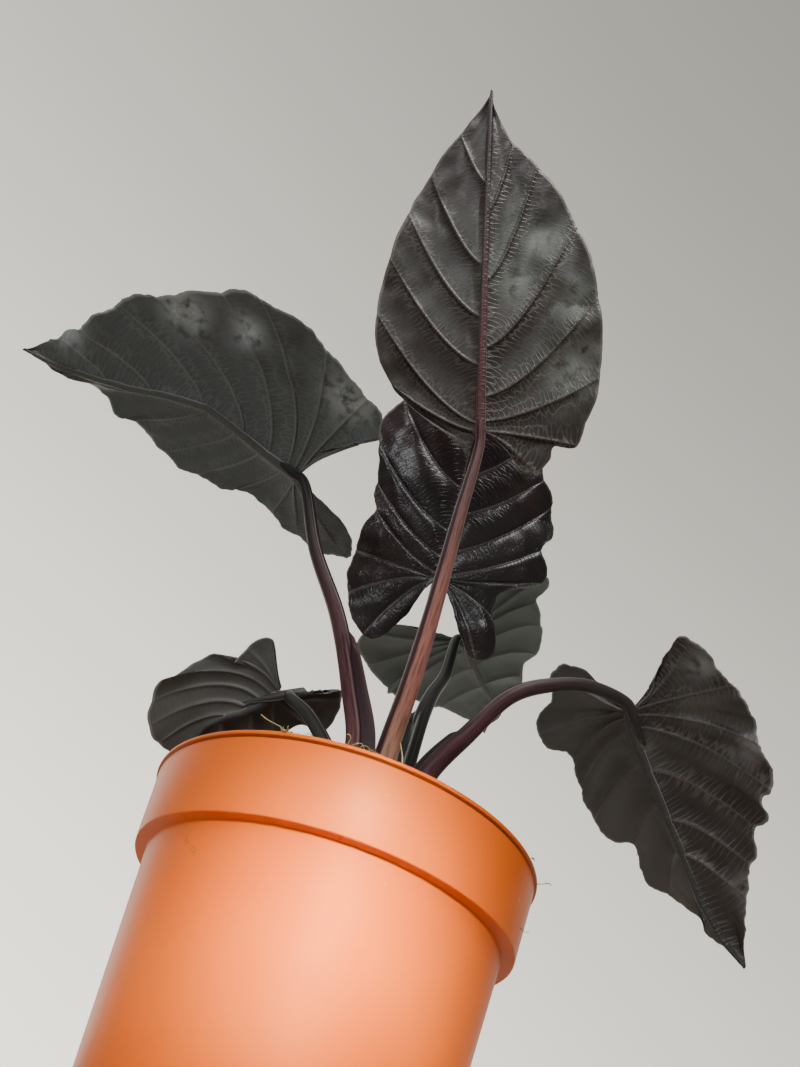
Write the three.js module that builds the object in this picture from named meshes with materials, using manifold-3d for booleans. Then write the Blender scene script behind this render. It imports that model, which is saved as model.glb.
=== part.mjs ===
// Potted velvet alocasia: six dark leaves on their own stalks, rising from one
// crown in a filled plastic nursery pot.
// Millimetres, +Z up, origin at the centre of the pot's underside.

import * as THREE from 'three';
import { mergeVertices } from 'three/addons/utils/BufferGeometryUtils.js';
import Module from 'manifold-3d';

const wasm = await Module();
wasm.setup();

// Driving dimensions of the pot
const potHeight = 125;
const lipRadius = 70;
const lipThickness = 1.4;
const lipOverhang = 0.85;
const bandHeight = 25;
const bandFootRadius = 66;
const bodyTopRadius = 61.8;
const bodyFootRadius = 47.4;
const footChamfer = 1.2;
const wallThickness = 1.3;
const floorThickness = 2;
const drainHoleCount = 8;
const drainHoleRadius = 4;
const drainCircleRadius = 35;
const drainHoleSegments = 12;
const roundSegments = 56;

// Clearance between pieces that touch
const gap = 0.3;

// How far a cutting body stands out of what it cuts, and how near corners are welded
const cutMargin = 1;
const weldDistance = 1e-4;

// Driving dimensions of the soil and of the short buried stem
const soilTop = 112;
const soilRings = 5;
const soilEdgeDrop = 1;
const bumpHeight = 0.9;
const coarseBumps = 0.29;
const fineBumps = 0.67;
const fineBumpShare = 0.6;
const moundHeight = 4;
const moundSpread = 22;
const crownX = 5;
const crownY = -13;
const rhizomeRadius = 17;
const rhizomeTop = 100.7;
const rhizomeLength = 34;
const rhizomeFootShare = 0.45;
const rhizomeRings = 6;
const lowestRingShare = 0.7;
const rhizomeWaist = 0.86;
const rhizomeShoulder = 1.5;
const rhizomeSegments = 24;

// Driving dimensions that all leaves share
const laminaThickness = 0.85;
const ribDepth = 1.7;
const ribShare = 0.09;
const ribTipShare = 0.25;
const lateralDepth = 0.4;
const lateralCount = 7;
const rowsPerLateral = 3;
const lobeRows = 7;
const acrossSteps = [0, 0.04, 0.09, 0.3, 0.55, 0.8, 1];
const ribCrowding = 1.3;
const lateralSweep = 1.3;
const curlReach = 44;
const stalkSides = 12;
const stalkSteps = 18;
const stalkTaper = 0.8;
const stalkSetBelow = 1.2;
const stalkFoot = 101;
const sheathSharpness = 5;

const radians = THREE.MathUtils.degToRad;

// Each leaf: its junction, the point that bows its midrib, its tip, the direction that its
// upper face looks, and each half's outline in the flat leaf as [along the midrib, out from
// it], from the tip to the shoulder (edge) and from there round the lobe to the stalk (lobe).
// The halves rise from the midrib by the fold angle and flatten outwards by the curl angle.
// The stalk runs from the crown through its points and ends set back behind the junction.
const leaves = [
  {
    name: 'leaf_1',
    junction: [4, -83, 271],
    bow: [-17, -134, 322],
    tip: [-35, -175, 380],
    upperFace: [0.14, 0.73, 0.67],
    length: 148,
    fold: 8,
    curl: 14,
    quilt: 0.9,
    ruffle: 0.9,
    waves: 3,
    right: {
      edge: [[148, 0], [141, 4], [131, 11], [110, 25], [88, 35], [65, 42], [45, 45], [30, 43], [17, 37]],
      lobe: [[17, 37], [6, 24], [-1, 14], [-6, 8], [-11, 5.5], [-8, 3.8], [-1.5, 3.6]],
    },
    left: {
      edge: [[148, 0], [139, 2], [124, 10], [106, 25], [80, 39], [55, 46], [36, 48], [15, 47], [3, 42]],
      lobe: [[3, 42], [-7, 39], [-6, 30], [-12, 28], [-17, 23], [-16, 17], [-8, 11], [-1.5, 3.6]],
    },
    stalk: [[6, -21], [6, -21, 128], [6, -23, 153], [7, -34, 178], [7, -47, 204], [6, -64, 236]],
    stalkFootRadius: 4.7,
    stalkTopRadius: 2.15,
    setBack: 4.5,
    sheath: { reach: 1.5, height: 0.3, towards: [0.6, 0.8] },
    color: 0x3a2e33,
    stalkColor: 0x7a5348,
  },
  {
    name: 'leaf_2',
    junction: [-62, -60, 238],
    bow: [-123, -76, 250],
    tip: [-180, -79, 240],
    upperFace: [-0.02, 0.2, 0.98],
    length: 120,
    fold: 24,
    curl: 16,
    quilt: 1.1,
    ruffle: 1.2,
    waves: 4,
    right: {
      edge: [[120, 0], [113, 3], [108, 8], [102, 9], [86, 15], [81, 21], [69, 23], [60, 31], [49, 33],
        [37, 34], [24, 33], [13, 27], [3, 31]],
      lobe: [[3, 31], [-8, 33], [-20, 32], [-32, 28], [-37, 24], [-34, 17], [-24, 11], [-12, 7],
        [-1.5, 3.6]],
    },
    left: {
      edge: [[120, 0], [114, 3], [103, 12], [94, 21], [85, 31], [71, 39], [56, 48], [42, 56], [30, 56],
        [13, 52], [0, 47]],
      lobe: [[0, 47], [-14, 41], [-20, 32], [-15, 27], [-6, 19], [-2, 11], [-1.5, 3.6]],
    },
    stalk: [[-5, -20], [-5, -20, 128], [-6, -23, 152], [-14, -29, 169], [-27, -41, 190], [-44, -50, 211]],
    stalkFootRadius: 4.4,
    stalkTopRadius: 2.15,
    setBack: 3.1,
    sheath: { reach: 5, height: 0.5, towards: [0.75, 0.66] },
    color: 0x2b2b2e,
    stalkColor: 0x3a2328,
  },
  {
    name: 'leaf_3',
    junction: [6, -10, 251],
    bow: [3, -30, 308],
    tip: [0, -71, 359],
    upperFace: [-0.03, -0.87, -0.49],
    length: 125,
    fold: 12,
    curl: 14,
    quilt: 1.4,
    ruffle: 1.2,
    waves: 4,
    right: {
      edge: [[125, 0], [121, 4], [112, 13], [98, 25], [82, 33], [67, 37], [55, 45], [46, 46], [38, 48],
        [28, 45], [19, 49], [12, 48], [6, 38]],
      lobe: [[6, 38], [0, 29], [-6, 28], [-16, 30], [-27, 32], [-33, 28], [-33, 22], [-24, 16], [-12, 10],
        [-1.5, 3.6]],
    },
    left: {
      edge: [[125, 0], [121, 5], [112, 16], [100, 29], [88, 38], [75, 46], [62, 45], [52, 41], [38, 40],
        [27, 37], [18, 40], [5, 41]],
      lobe: [[5, 41], [-12, 40], [-25, 35], [-35, 27], [-35, 20], [-27, 14], [-15, 8], [-1.5, 3.6]],
    },
    stalk: [[2, -4], [2, -4, 128], [5, -5, 162], [7, -6, 195], [7, -7, 225]],
    stalkFootRadius: 3.7,
    stalkTopRadius: 2.1,
    setBack: 3.6,
    sheath: { reach: 1, height: 0.3, towards: [-0.7, 0.7] },
    color: 0x1d1a20,
    stalkColor: 0x33262b,
  },
  {
    name: 'leaf_4',
    junction: [27, 35, 257],
    bow: [55, 66, 264],
    tip: [61, 121, 264],
    upperFace: [-0.49, 0.12, 0.86],
    length: 94,
    fold: 18,
    curl: 14,
    quilt: 1.3,
    ruffle: 1.1,
    waves: 4,
    right: {
      edge: [[94, 0], [89, 7], [79, 12], [70, 20], [58, 23], [49, 25], [42, 33], [30, 38], [18, 40],
        [9, 43]],
      lobe: [[9, 43], [3, 52], [-6, 54], [-20, 46], [-24, 34], [-16, 20], [-8, 10], [-1.5, 3.6]],
    },
    left: {
      edge: [[94, 0], [88, 6], [81, 12], [71, 20], [61, 30], [47, 38], [32, 45], [17, 49], [5, 48]],
      lobe: [[5, 48], [-8, 47], [-20, 46], [-34, 40], [-37, 31], [-30, 19], [-20, 14], [-10, 8],
        [-1.5, 3.6]],
    },
    stalk: [[14, -7], [14, -6, 128], [15, -4, 158], [16, -2, 184], [18, 4, 199], [22, 15, 218]],
    stalkFootRadius: 4.1,
    stalkTopRadius: 2.2,
    setBack: 3.4,
    sheath: { reach: 2.6, height: 0.5, towards: [-0.7, -0.7] },
    color: 0x333436,
    stalkColor: 0x2e2428,
  },
  {
    name: 'leaf_5',
    junction: [93, -29, 199],
    bow: [117, -8, 179],
    tip: [157, 15, 135],
    upperFace: [0.44, 0.48, 0.76],
    length: 101,
    fold: 20,
    curl: 14,
    quilt: 1.1,
    ruffle: 1.4,
    waves: 5,
    right: {
      edge: [[101, 0], [95, 3], [88, 8], [82, 12], [76, 15], [70, 22], [64, 24], [60, 31], [53, 32],
        [50, 37], [42, 39], [28, 40], [15, 41], [4, 40]],
      lobe: [[4, 40], [-5, 36], [-12, 35], [-19, 33], [-22, 28], [-18, 22], [-12, 16], [-5, 10],
        [-1.5, 3.6]],
    },
    left: {
      edge: [[101, 0], [95, 5], [91, 10], [86, 9], [82, 13], [79, 18], [73, 24], [64, 25], [58, 26],
        [55, 31], [45, 37], [32, 36], [22, 35], [15, 36], [11, 42]],
      lobe: [[11, 42], [4, 45], [-3, 43], [-9, 34], [-15, 30], [-21, 28], [-24, 22], [-20, 16], [-10, 9],
        [-1.5, 3.6]],
    },
    stalk: [[19, -19], [19, -19, 126], [22, -21, 149], [32, -30, 165], [44, -38, 182], [59, -39, 192],
      [73, -37, 198]],
    stalkFootRadius: 4.8,
    stalkTopRadius: 2.2,
    setBack: 3.1,
    sheath: { reach: 3.4, height: 0.45, towards: [-0.5, 0.8] },
    color: 0x2a2425,
    stalkColor: 0x33222a,
  },
  {
    name: 'leaf_6',
    junction: [-42, 2, 175],
    bow: [-62, 3, 163],
    tip: [-71, 23, 143],
    upperFace: [-0.23, 0.7, 0.67],
    length: 50,
    fold: 16,
    curl: 12,
    quilt: 0.9,
    ruffle: 1.1,
    waves: 3,
    right: {
      edge: [[50, 0], [47, 5], [40, 12], [30, 17], [19, 19], [8, 20], [0, 18]],
      lobe: [[0, 18], [-8, 15], [-17, 20], [-24, 12], [-26, 5], [-24, 1.5], [-12, 2], [-1.5, 3.6]],
    },
    left: {
      edge: [[50, 0], [48, 5], [48, 12], [45, 20], [40, 25], [34, 28], [29, 26], [22, 25], [17, 25],
        [13, 18]],
      lobe: [[13, 18], [8, 22], [2, 24], [-1, 22], [-1, 15], [-1, 8], [-1.5, 3.6]],
    },
    stalk: [[-9, -9], [-9, -9, 128], [-13, -11, 148], [-20, -10, 158], [-28, -8, 166], [-36, -4, 172]],
    stalkFootRadius: 3.8,
    stalkTopRadius: 2.1,
    setBack: 3.7,
    sheath: { reach: 1, height: 0.3, towards: [0.7, -0.7] },
    color: 0x2c2c30,
    stalkColor: 0x3a2a2c,
  },
];

function signedVolume(geometry) {
  const position = geometry.attributes.position;
  const index = geometry.index.array;
  const a = new THREE.Vector3();
  const b = new THREE.Vector3();
  const c = new THREE.Vector3();
  let volume = 0;
  for (let i = 0; i < index.length; i += 3) {
    a.fromBufferAttribute(position, index[i]);
    b.fromBufferAttribute(position, index[i + 1]);
    c.fromBufferAttribute(position, index[i + 2]);
    volume += a.dot(b.cross(c)) / 6;
  }
  return volume;
}

// Welds shared corners and turns every face outwards.
function closedGeometry(geometry) {
  geometry.deleteAttribute('normal');
  geometry.deleteAttribute('uv');
  const welded = mergeVertices(geometry, weldDistance);
  if (signedVolume(welded) < 0) {
    const index = welded.index.array;
    for (let i = 0; i < index.length; i += 3) {
      const second = index[i + 1];
      index[i + 1] = index[i + 2];
      index[i + 2] = second;
    }
  }
  return welded;
}

function toSolid(geometry) {
  const closed = closedGeometry(geometry);
  const mesh = new wasm.Mesh({
    numProp: 3,
    vertProperties: new Float32Array(closed.attributes.position.array),
    triVerts: new Uint32Array(closed.index.array),
  });
  return new wasm.Manifold(mesh);
}

function fromSolid(solid) {
  const { vertProperties, triVerts } = solid.getMesh();
  const geometry = new THREE.BufferGeometry();
  geometry.setAttribute('position', new THREE.BufferAttribute(vertProperties, 3));
  geometry.setIndex(new THREE.BufferAttribute(triVerts, 1));
  return geometry;
}

// A profile of [radius, height] pairs turned round the Z axis
function turned(profile, segments) {
  const points = profile.map(([radius, height]) => new THREE.Vector2(radius, height));
  return new THREE.LatheGeometry(points, segments).rotateX(Math.PI / 2);
}

function drumAt(radius, bottom, top, x, y, segments) {
  const drum = new THREE.CylinderGeometry(radius, radius, top - bottom, segments);
  drum.rotateX(Math.PI / 2);
  return drum.translate(x, y, (top + bottom) / 2);
}

// Pot

const bandFoot = potHeight - bandHeight;
const bandTopRadius = lipRadius - lipOverhang;
const lipFoot = potHeight - lipThickness;

function bodyRadiusAt(height) {
  return THREE.MathUtils.mapLinear(height, 0, bandFoot, bodyFootRadius, bodyTopRadius);
}

function bandRadiusAt(height) {
  return THREE.MathUtils.mapLinear(height, bandFoot, lipFoot, bandFootRadius, bandTopRadius);
}

function potGeometry() {
  const ledge = bandFoot + wallThickness;
  const profile = [
    [0, 0],
    [bodyFootRadius - footChamfer, 0],
    [bodyRadiusAt(footChamfer), footChamfer],
    [bodyTopRadius, bandFoot],
    [bandFootRadius, bandFoot],
    [bandTopRadius, lipFoot],
    [lipRadius, lipFoot],
    [lipRadius, potHeight],
    [bandTopRadius - wallThickness, potHeight],
    [bandFootRadius - wallThickness, ledge],
    [bodyTopRadius - wallThickness, ledge],
    [bodyRadiusAt(floorThickness) - wallThickness, floorThickness],
    [0, floorThickness],
  ];
  let pot = toSolid(turned(profile, roundSegments));
  for (let i = 0; i < drainHoleCount; i += 1) {
    const angle = (2 * Math.PI * i) / drainHoleCount;
    const x = drainCircleRadius * Math.cos(angle);
    const y = drainCircleRadius * Math.sin(angle);
    const cut = drumAt(drainHoleRadius, -cutMargin, floorThickness + cutMargin, x, y, drainHoleSegments);
    pot = pot.subtract(toSolid(cut));
  }
  return fromSolid(pot);
}

// Leaf stalks

function stalkPoints(leaf) {
  const { point, along, up } = ribFrame(leaf, 0);
  const end = point.addScaledVector(along, -leaf.setBack).addScaledVector(up, -stalkSetBelow);
  const points = leaf.stalk.map(([x, y, z = stalkFoot]) => new THREE.Vector3(x, y, z));
  return [...points, end];
}

// A round bar bent along the stalk's curve. It thins towards the leaf, and low down one side
// is drawn out into the sheath. The allowance widens it all round.
function stalkGeometry(leaf, allowance = 0) {
  const curve = new THREE.CatmullRomCurve3(stalkPoints(leaf));
  const frames = curve.computeFrenetFrames(stalkSteps);
  const spots = curve.getSpacedPoints(stalkSteps);
  const towards = new THREE.Vector3(...leaf.sheath.towards, 0).normalize();
  const bar = new THREE.CylinderGeometry(1, 1, 1, stalkSides, stalkSteps);
  const position = bar.attributes.position;
  const spoke = new THREE.Vector3();
  for (let i = 0; i < position.count; i += 1) {
    const share = position.getY(i) + 0.5;
    const step = Math.round(share * stalkSteps);
    spoke.copy(frames.normals[step]).multiplyScalar(position.getX(i));
    spoke.addScaledVector(frames.binormals[step], position.getZ(i));
    const thinning = (1 - share) ** stalkTaper;
    const radius = THREE.MathUtils.lerp(leaf.stalkTopRadius, leaf.stalkFootRadius, thinning);
    const facing = Math.max(0, spoke.dot(towards)) ** sheathSharpness;
    const rise = Math.max(0, 1 - share / leaf.sheath.height);
    const sheath = leaf.sheath.reach * facing * Math.sqrt(rise);
    spoke.multiplyScalar(radius + sheath + allowance).add(spots[step]);
    position.setXYZ(i, spoke.x, spoke.y, spoke.z);
  }
  return closedGeometry(bar);
}

// Leaf blades

// The midrib is a parabola from the junction to the tip, and runs on straight behind the junction.
function ribFrame(leaf, x) {
  const share = Math.max(0, x / leaf.length);
  const junction = new THREE.Vector3(...leaf.junction);
  const bow = new THREE.Vector3(...leaf.bow);
  const tip = new THREE.Vector3(...leaf.tip);
  const rib = new THREE.QuadraticBezierCurve3(junction, bow, tip);
  const along = rib.getTangent(share);
  const side = new THREE.Vector3().crossVectors(along, new THREE.Vector3(...leaf.upperFace)).normalize();
  const up = new THREE.Vector3().crossVectors(side, along);
  const point = rib.getPoint(share).addScaledVector(along, Math.min(0, x));
  return { point, along, side, up };
}

// A spot of the flat leaf, x along the midrib and y to its right, brought to its place
function bladePoint(leaf, x, y, lift) {
  const { point, side, up } = ribFrame(leaf, x);
  const reach = Math.abs(y);
  const angle = radians(leaf.fold - (leaf.curl * reach) / curlReach);
  point.addScaledVector(side, Math.sign(y) * reach * Math.cos(angle));
  return point.addScaledVector(up, reach * Math.sin(angle) + lift);
}

function halfMargin(half) {
  const curveOf = (points) => new THREE.SplineCurve(points.map(([x, y]) => new THREE.Vector2(x, y)));
  const edge = curveOf(half.edge).getSpacedPoints(lateralCount * rowsPerLateral);
  const lobe = curveOf(half.lobe).getSpacedPoints(lobeRows);
  return [...edge, ...lobe.slice(1)];
}

// Rows run from the midrib to the margin as the side veins do, and round the junction they fan out.
// Between the veins the blade swells upwards, and towards the margin it is waved.
function bladeSurface(leaf) {
  const edgeRows = lateralCount * rowsPerLateral;
  const margins = { left: halfMargin(leaf.left), right: halfMargin(leaf.right) };
  const columns = [...acrossSteps.slice(1).reverse().map((step) => -step), ...acrossSteps];
  const points = [];
  const thickness = [];
  const ids = [];
  for (let row = 0; row <= edgeRows + lobeRows; row += 1) {
    const share = Math.min(1, row / edgeRows);
    const ribX = leaf.length * (1 - share) ** ribCrowding;
    ids.push([]);
    for (const column of columns) {
      const across = Math.abs(column);
      const margin = (column < 0 ? margins.left : margins.right)[row];
      const sameAsTip = row === 0 && points.length > 0;
      const sameAsJunction = column === 0 && row > edgeRows;
      if (sameAsTip || sameAsJunction) {
        ids[row].push(sameAsTip ? 0 : ids[edgeRows][acrossSteps.length - 1]);
      } else {
        const x = THREE.MathUtils.lerp(ribX, margin.x, across ** lateralSweep);
        const y = Math.sign(column) * margin.y * across;
        const swell = Math.abs(Math.sin((Math.PI * row) / rowsPerLateral)) * Math.sin(Math.PI * across);
        const wave = Math.sin((2 * Math.PI * leaf.waves * row) / edgeRows + column) * across ** 3;
        const lift = leaf.quilt * Math.max(0, swell) + leaf.ruffle * wave;
        const ribHere = ribDepth * THREE.MathUtils.lerp(ribTipShare, 1, share);
        const rib = ribHere * Math.max(0, 1 - (across / ribShare) ** 2);
        const lateral = row % rowsPerLateral === 0 && across < 1 ? lateralDepth * (1 - across) : 0;
        ids[row].push(points.length);
        points.push(bladePoint(leaf, x, y, lift));
        thickness.push(laminaThickness + rib + lateral);
      }
    }
  }
  return { points, thickness, ids, centre: acrossSteps.length - 1 };
}

function addTriangle(triangles, a, b, c) {
  if (a !== b && b !== c && c !== a) {
    triangles.push([a, b, c]);
  }
}

function bladeGeometry(leaf) {
  const { points, thickness, ids, centre } = bladeSurface(leaf);
  const lastRow = ids.length - 1;
  const lastColumn = ids[0].length - 1;
  const upper = [];
  for (let row = 0; row < lastRow; row += 1) {
    for (let column = 0; column < lastColumn; column += 1) {
      const a = ids[row][column];
      const b = ids[row + 1][column];
      const c = ids[row + 1][column + 1];
      const d = ids[row][column + 1];
      if (column < centre) {
        addTriangle(upper, a, b, c);
        addTriangle(upper, a, c, d);
      } else {
        addTriangle(upper, a, b, d);
        addTriangle(upper, b, c, d);
      }
    }
  }

  const normals = points.map(() => new THREE.Vector3());
  for (const [a, b, c] of upper) {
    const first = points[b].clone().sub(points[a]);
    const normal = first.cross(points[c].clone().sub(points[a]));
    for (const corner of [a, b, c]) {
      normals[corner].add(normal);
    }
  }
  const facesUp = normals[0].dot(new THREE.Vector3(...leaf.upperFace)) > 0 ? 1 : -1;
  const under = points.map((point, i) => {
    const normal = normals[i].normalize();
    return point.clone().addScaledVector(normal, -facesUp * thickness[i]);
  });

  const count = points.length;
  const rim = [];
  for (let row = 0; row < lastRow; row += 1) {
    rim.push(ids[row][0]);
  }
  for (let column = 0; column < lastColumn; column += 1) {
    rim.push(ids[lastRow][column]);
  }
  for (let row = lastRow; row > 0; row -= 1) {
    rim.push(ids[row][lastColumn]);
  }
  const triangles = [...upper];
  for (const [a, b, c] of upper) {
    triangles.push([a + count, c + count, b + count]);
  }
  rim.forEach((a, i) => {
    const b = rim[(i + 1) % rim.length];
    triangles.push([b, a, a + count], [b, a + count, b + count]);
  });

  const geometry = new THREE.BufferGeometry().setFromPoints([...points, ...under]);
  geometry.setIndex(triangles.flat());
  return closedGeometry(geometry);
}

// Buried stem that carries the stalks, with the rings of old leaf scars

function rhizomeGeometry() {
  const foot = rhizomeTop - rhizomeLength;
  const ringHeight = rhizomeLength / rhizomeRings;
  const profile = [[0, foot], [rhizomeRadius * rhizomeFootShare, foot]];
  for (let ring = 1; ring < rhizomeRings; ring += 1) {
    const swell = ring % 2 === 0 ? rhizomeWaist : 1;
    const widening = THREE.MathUtils.lerp(lowestRingShare, 1, (ring - 1) / (rhizomeRings - 1));
    profile.push([rhizomeRadius * swell * widening, foot + ring * ringHeight]);
  }
  profile.push([rhizomeRadius, rhizomeTop - rhizomeShoulder]);
  profile.push([rhizomeRadius - rhizomeShoulder, rhizomeTop], [0, rhizomeTop]);
  return closedGeometry(turned(profile, rhizomeSegments).translate(crownX, crownY, 0));
}

// Soil, heaped a little round the stalks, with a plain hole for each of them

function soilHeight(x, y) {
  const coarse = Math.sin(coarseBumps * x + 1) * Math.cos(coarseBumps * y);
  const bumps = coarse + fineBumpShare * Math.sin(fineBumps * (x + y));
  const distance = Math.hypot(x - crownX, y - crownY);
  return soilTop + bumpHeight * bumps + moundHeight * Math.exp(-((distance / moundSpread) ** 2));
}

function soilGeometry() {
  const inside = wallThickness + gap;
  const ledge = bandFoot + wallThickness + gap;
  const bottom = floorThickness + gap;
  const edgeHeight = soilTop - soilEdgeDrop;
  const topRadius = bandRadiusAt(edgeHeight) - inside;
  const profile = [
    [0, bottom],
    [bodyRadiusAt(bottom) - inside, bottom],
    [bodyTopRadius - inside, ledge],
    [bandRadiusAt(ledge) - inside, ledge],
    [topRadius, edgeHeight],
  ];
  for (let ring = soilRings - 1; ring >= 0; ring -= 1) {
    profile.push([(topRadius * ring) / soilRings, soilTop]);
  }
  const heap = turned(profile, roundSegments);
  const position = heap.attributes.position;
  for (let i = 0; i < position.count; i += 1) {
    if (position.getZ(i) > edgeHeight + weldDistance) {
      position.setZ(i, soilHeight(position.getX(i), position.getY(i)));
    }
  }
  let soil = toSolid(heap);
  const wellFoot = rhizomeTop - rhizomeLength - gap;
  const wellTop = rhizomeTop + gap;
  const well = drumAt(rhizomeRadius + gap, wellFoot, wellTop, crownX, crownY, rhizomeSegments);
  soil = soil.subtract(toSolid(well));
  for (const leaf of leaves) {
    soil = soil.subtract(toSolid(stalkGeometry(leaf, gap)));
  }
  return fromSolid(soil);
}

function addPart(group, name, geometry, color, roughness) {
  const material = new THREE.MeshStandardMaterial({ color, roughness, metalness: 0 });
  const mesh = new THREE.Mesh(geometry, material);
  mesh.name = name;
  group.add(mesh);
}

const plant = new THREE.Group();
addPart(plant, 'pot', potGeometry(), 0xd9793f, 0.4);
addPart(plant, 'soil', soilGeometry(), 0x3a2a1e, 0.95);
addPart(plant, 'rhizome', rhizomeGeometry(), 0x6b4a33, 0.8);
for (const leaf of leaves) {
  addPart(plant, `${leaf.name}_blade`, bladeGeometry(leaf), leaf.color, 0.45);
  addPart(plant, `${leaf.name}_stalk`, stalkGeometry(leaf), leaf.stalkColor, 0.45);
}

export default plant;
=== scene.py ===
# Velvet alocasia in a plastic nursery pot. Lengths in the dictionaries are millimetres.
import math
import random

import bmesh
import bpy
import numpy as np
from mathutils import Matrix, Vector, noise


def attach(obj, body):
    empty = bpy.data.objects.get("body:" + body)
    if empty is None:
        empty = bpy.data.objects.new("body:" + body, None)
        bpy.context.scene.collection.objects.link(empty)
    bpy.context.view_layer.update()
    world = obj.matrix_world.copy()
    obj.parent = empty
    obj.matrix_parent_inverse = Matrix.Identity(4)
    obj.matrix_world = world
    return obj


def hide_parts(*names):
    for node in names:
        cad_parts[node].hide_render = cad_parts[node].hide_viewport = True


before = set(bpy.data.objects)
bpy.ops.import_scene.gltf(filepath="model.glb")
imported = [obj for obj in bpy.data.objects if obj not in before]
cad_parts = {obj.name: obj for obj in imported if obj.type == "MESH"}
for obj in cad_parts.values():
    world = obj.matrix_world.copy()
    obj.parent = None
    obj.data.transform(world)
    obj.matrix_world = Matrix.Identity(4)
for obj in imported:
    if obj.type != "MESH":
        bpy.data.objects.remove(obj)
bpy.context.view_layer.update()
mm = 0.001
chance = random.Random(7)


# Helpers for materials

class Paint:
    # The nodes of a material or of the air. A method adds a node and gives back what comes out of it.

    def __init__(self, owner, shaderName):
        owner.use_nodes = True
        self.owner = owner
        self.tree = owner.node_tree
        self.shader = self.tree.nodes[shaderName]

    def fill(self, socket, value):
        if isinstance(value, bpy.types.NodeSocket):
            self.tree.links.new(value, socket)
        else:
            socket.default_value = value

    def set(self, name, value):
        self.fill(self.shader.inputs[name], value)

    def add(self, kind, inputs, **settings):
        made = self.tree.nodes.new("ShaderNode" + kind)
        for key, value in settings.items():
            setattr(made, key, value)
        for key, value in inputs.items():
            self.fill(made.inputs[key], value)
        return made.outputs

    def compute(self, operation, *values):
        return self.add("Math", dict(enumerate(values)), operation=operation)[0]

    def times(self, first, second):
        return self.compute("MULTIPLY", first, second)

    def plus(self, first, second):
        return self.compute("ADD", first, second)

    def vectors(self, operation, first, second):
        return self.add("VectorMath", {0: first, 1: second}, operation=operation)

    def ramp(self, value, start, end, low=0.0, high=1.0):
        return self.add("MapRange", dict(enumerate((value, start, end, low, high))),
                        interpolation_type="SMOOTHSTEP")[0]

    def mix(self, share, first, second):
        return self.add("Mix", {0: share, 6: first, 7: second}, data_type="RGBA")[2]

    def read(self, name):
        return self.add("Attribute", {}, attribute_name=name)["Fac"]

    def place(self):
        return self.add("TexCoord", {})["Object"]

    def stretch(self, vector, scale):
        return self.add("Mapping", {"Vector": vector, "Scale": scale})[0]

    def clouds(self, vector, scale, detail=3.0, roughness=0.55):
        return self.add("TexNoise", {"Vector": vector, "Scale": scale, "Detail": detail,
                                     "Roughness": roughness})

    def noiseAt(self, *choices):
        return self.clouds(*choices)["Fac"]

    def bump(self, height, distance, strength=1.0):
        made = self.add("Bump", {"Height": height, "Distance": distance, "Strength": strength})
        self.set("Normal", made["Normal"])


def startMaterial(name, roughness, specular=0.5, **others):
    paint = Paint(bpy.data.materials.new(name), "Principled BSDF")
    sockets = {"Roughness": roughness, "Specular IOR Level": specular, **others}
    for key, value in sockets.items():
        paint.set(key, value)
    return paint


def rgb(*parts):
    return (*parts, 1.0)


# Helpers for shapes

def addPiece(name, mesh, materials, replaced=()):
    piece = bpy.data.objects.new(name, mesh)
    bpy.context.scene.collection.objects.link(piece)
    for material in materials:
        mesh.materials.append(material)
    mesh.polygons.foreach_set("use_smooth", [True] * len(mesh.polygons))
    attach(piece, "root")
    if replaced:
        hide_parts(*replaced)
    return piece


def meshFrom(bm, name):
    mesh = bpy.data.meshes.new(name)
    bm.to_mesh(mesh)
    bm.free()
    return mesh


def gridMesh(name, columns, rows):
    # A flat grid, with the column and the row of each of its corners
    bm = bmesh.new()
    bmesh.ops.create_grid(bm, x_segments=columns, y_segments=rows, size=0.5)
    mesh = meshFrom(bm, name)
    flat = np.zeros(len(mesh.vertices) * 3)
    mesh.vertices.foreach_get("co", flat)
    places = flat.reshape(-1, 3)[:, :2] + 0.5
    return mesh, np.rint(places[:, 0] * columns).astype(int), np.rint(places[:, 1] * rows).astype(int)


def setPlaces(mesh, places):
    mesh.vertices.foreach_set("co", (np.asarray(places) * mm).ravel())
    mesh.update()


def setAttribute(mesh, name, values):
    mesh.attributes.new(name, "FLOAT", "POINT").data.foreach_set("value", np.asarray(values, float).ravel())


def cornerPoints(mesh):
    corners = np.zeros(len(mesh.loops), int)
    mesh.loops.foreach_get("vertex_index", corners)
    return corners


def weldMesh(mesh, distance=0.005):
    bm = bmesh.new()
    bm.from_mesh(mesh)
    bmesh.ops.remove_doubles(bm, verts=bm.verts, dist=distance * mm)
    bm.to_mesh(mesh)
    bm.free()


def unit(vectors):
    return vectors / np.linalg.norm(vectors, axis=-1, keepdims=True)


def smoothStep(value, start, end):
    share = np.clip((value - start) / (end - start), 0, 1)
    return share * share * (3 - 2 * share)


def bell(distance, width):
    return np.exp(-(distance / width) ** 2)


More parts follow.
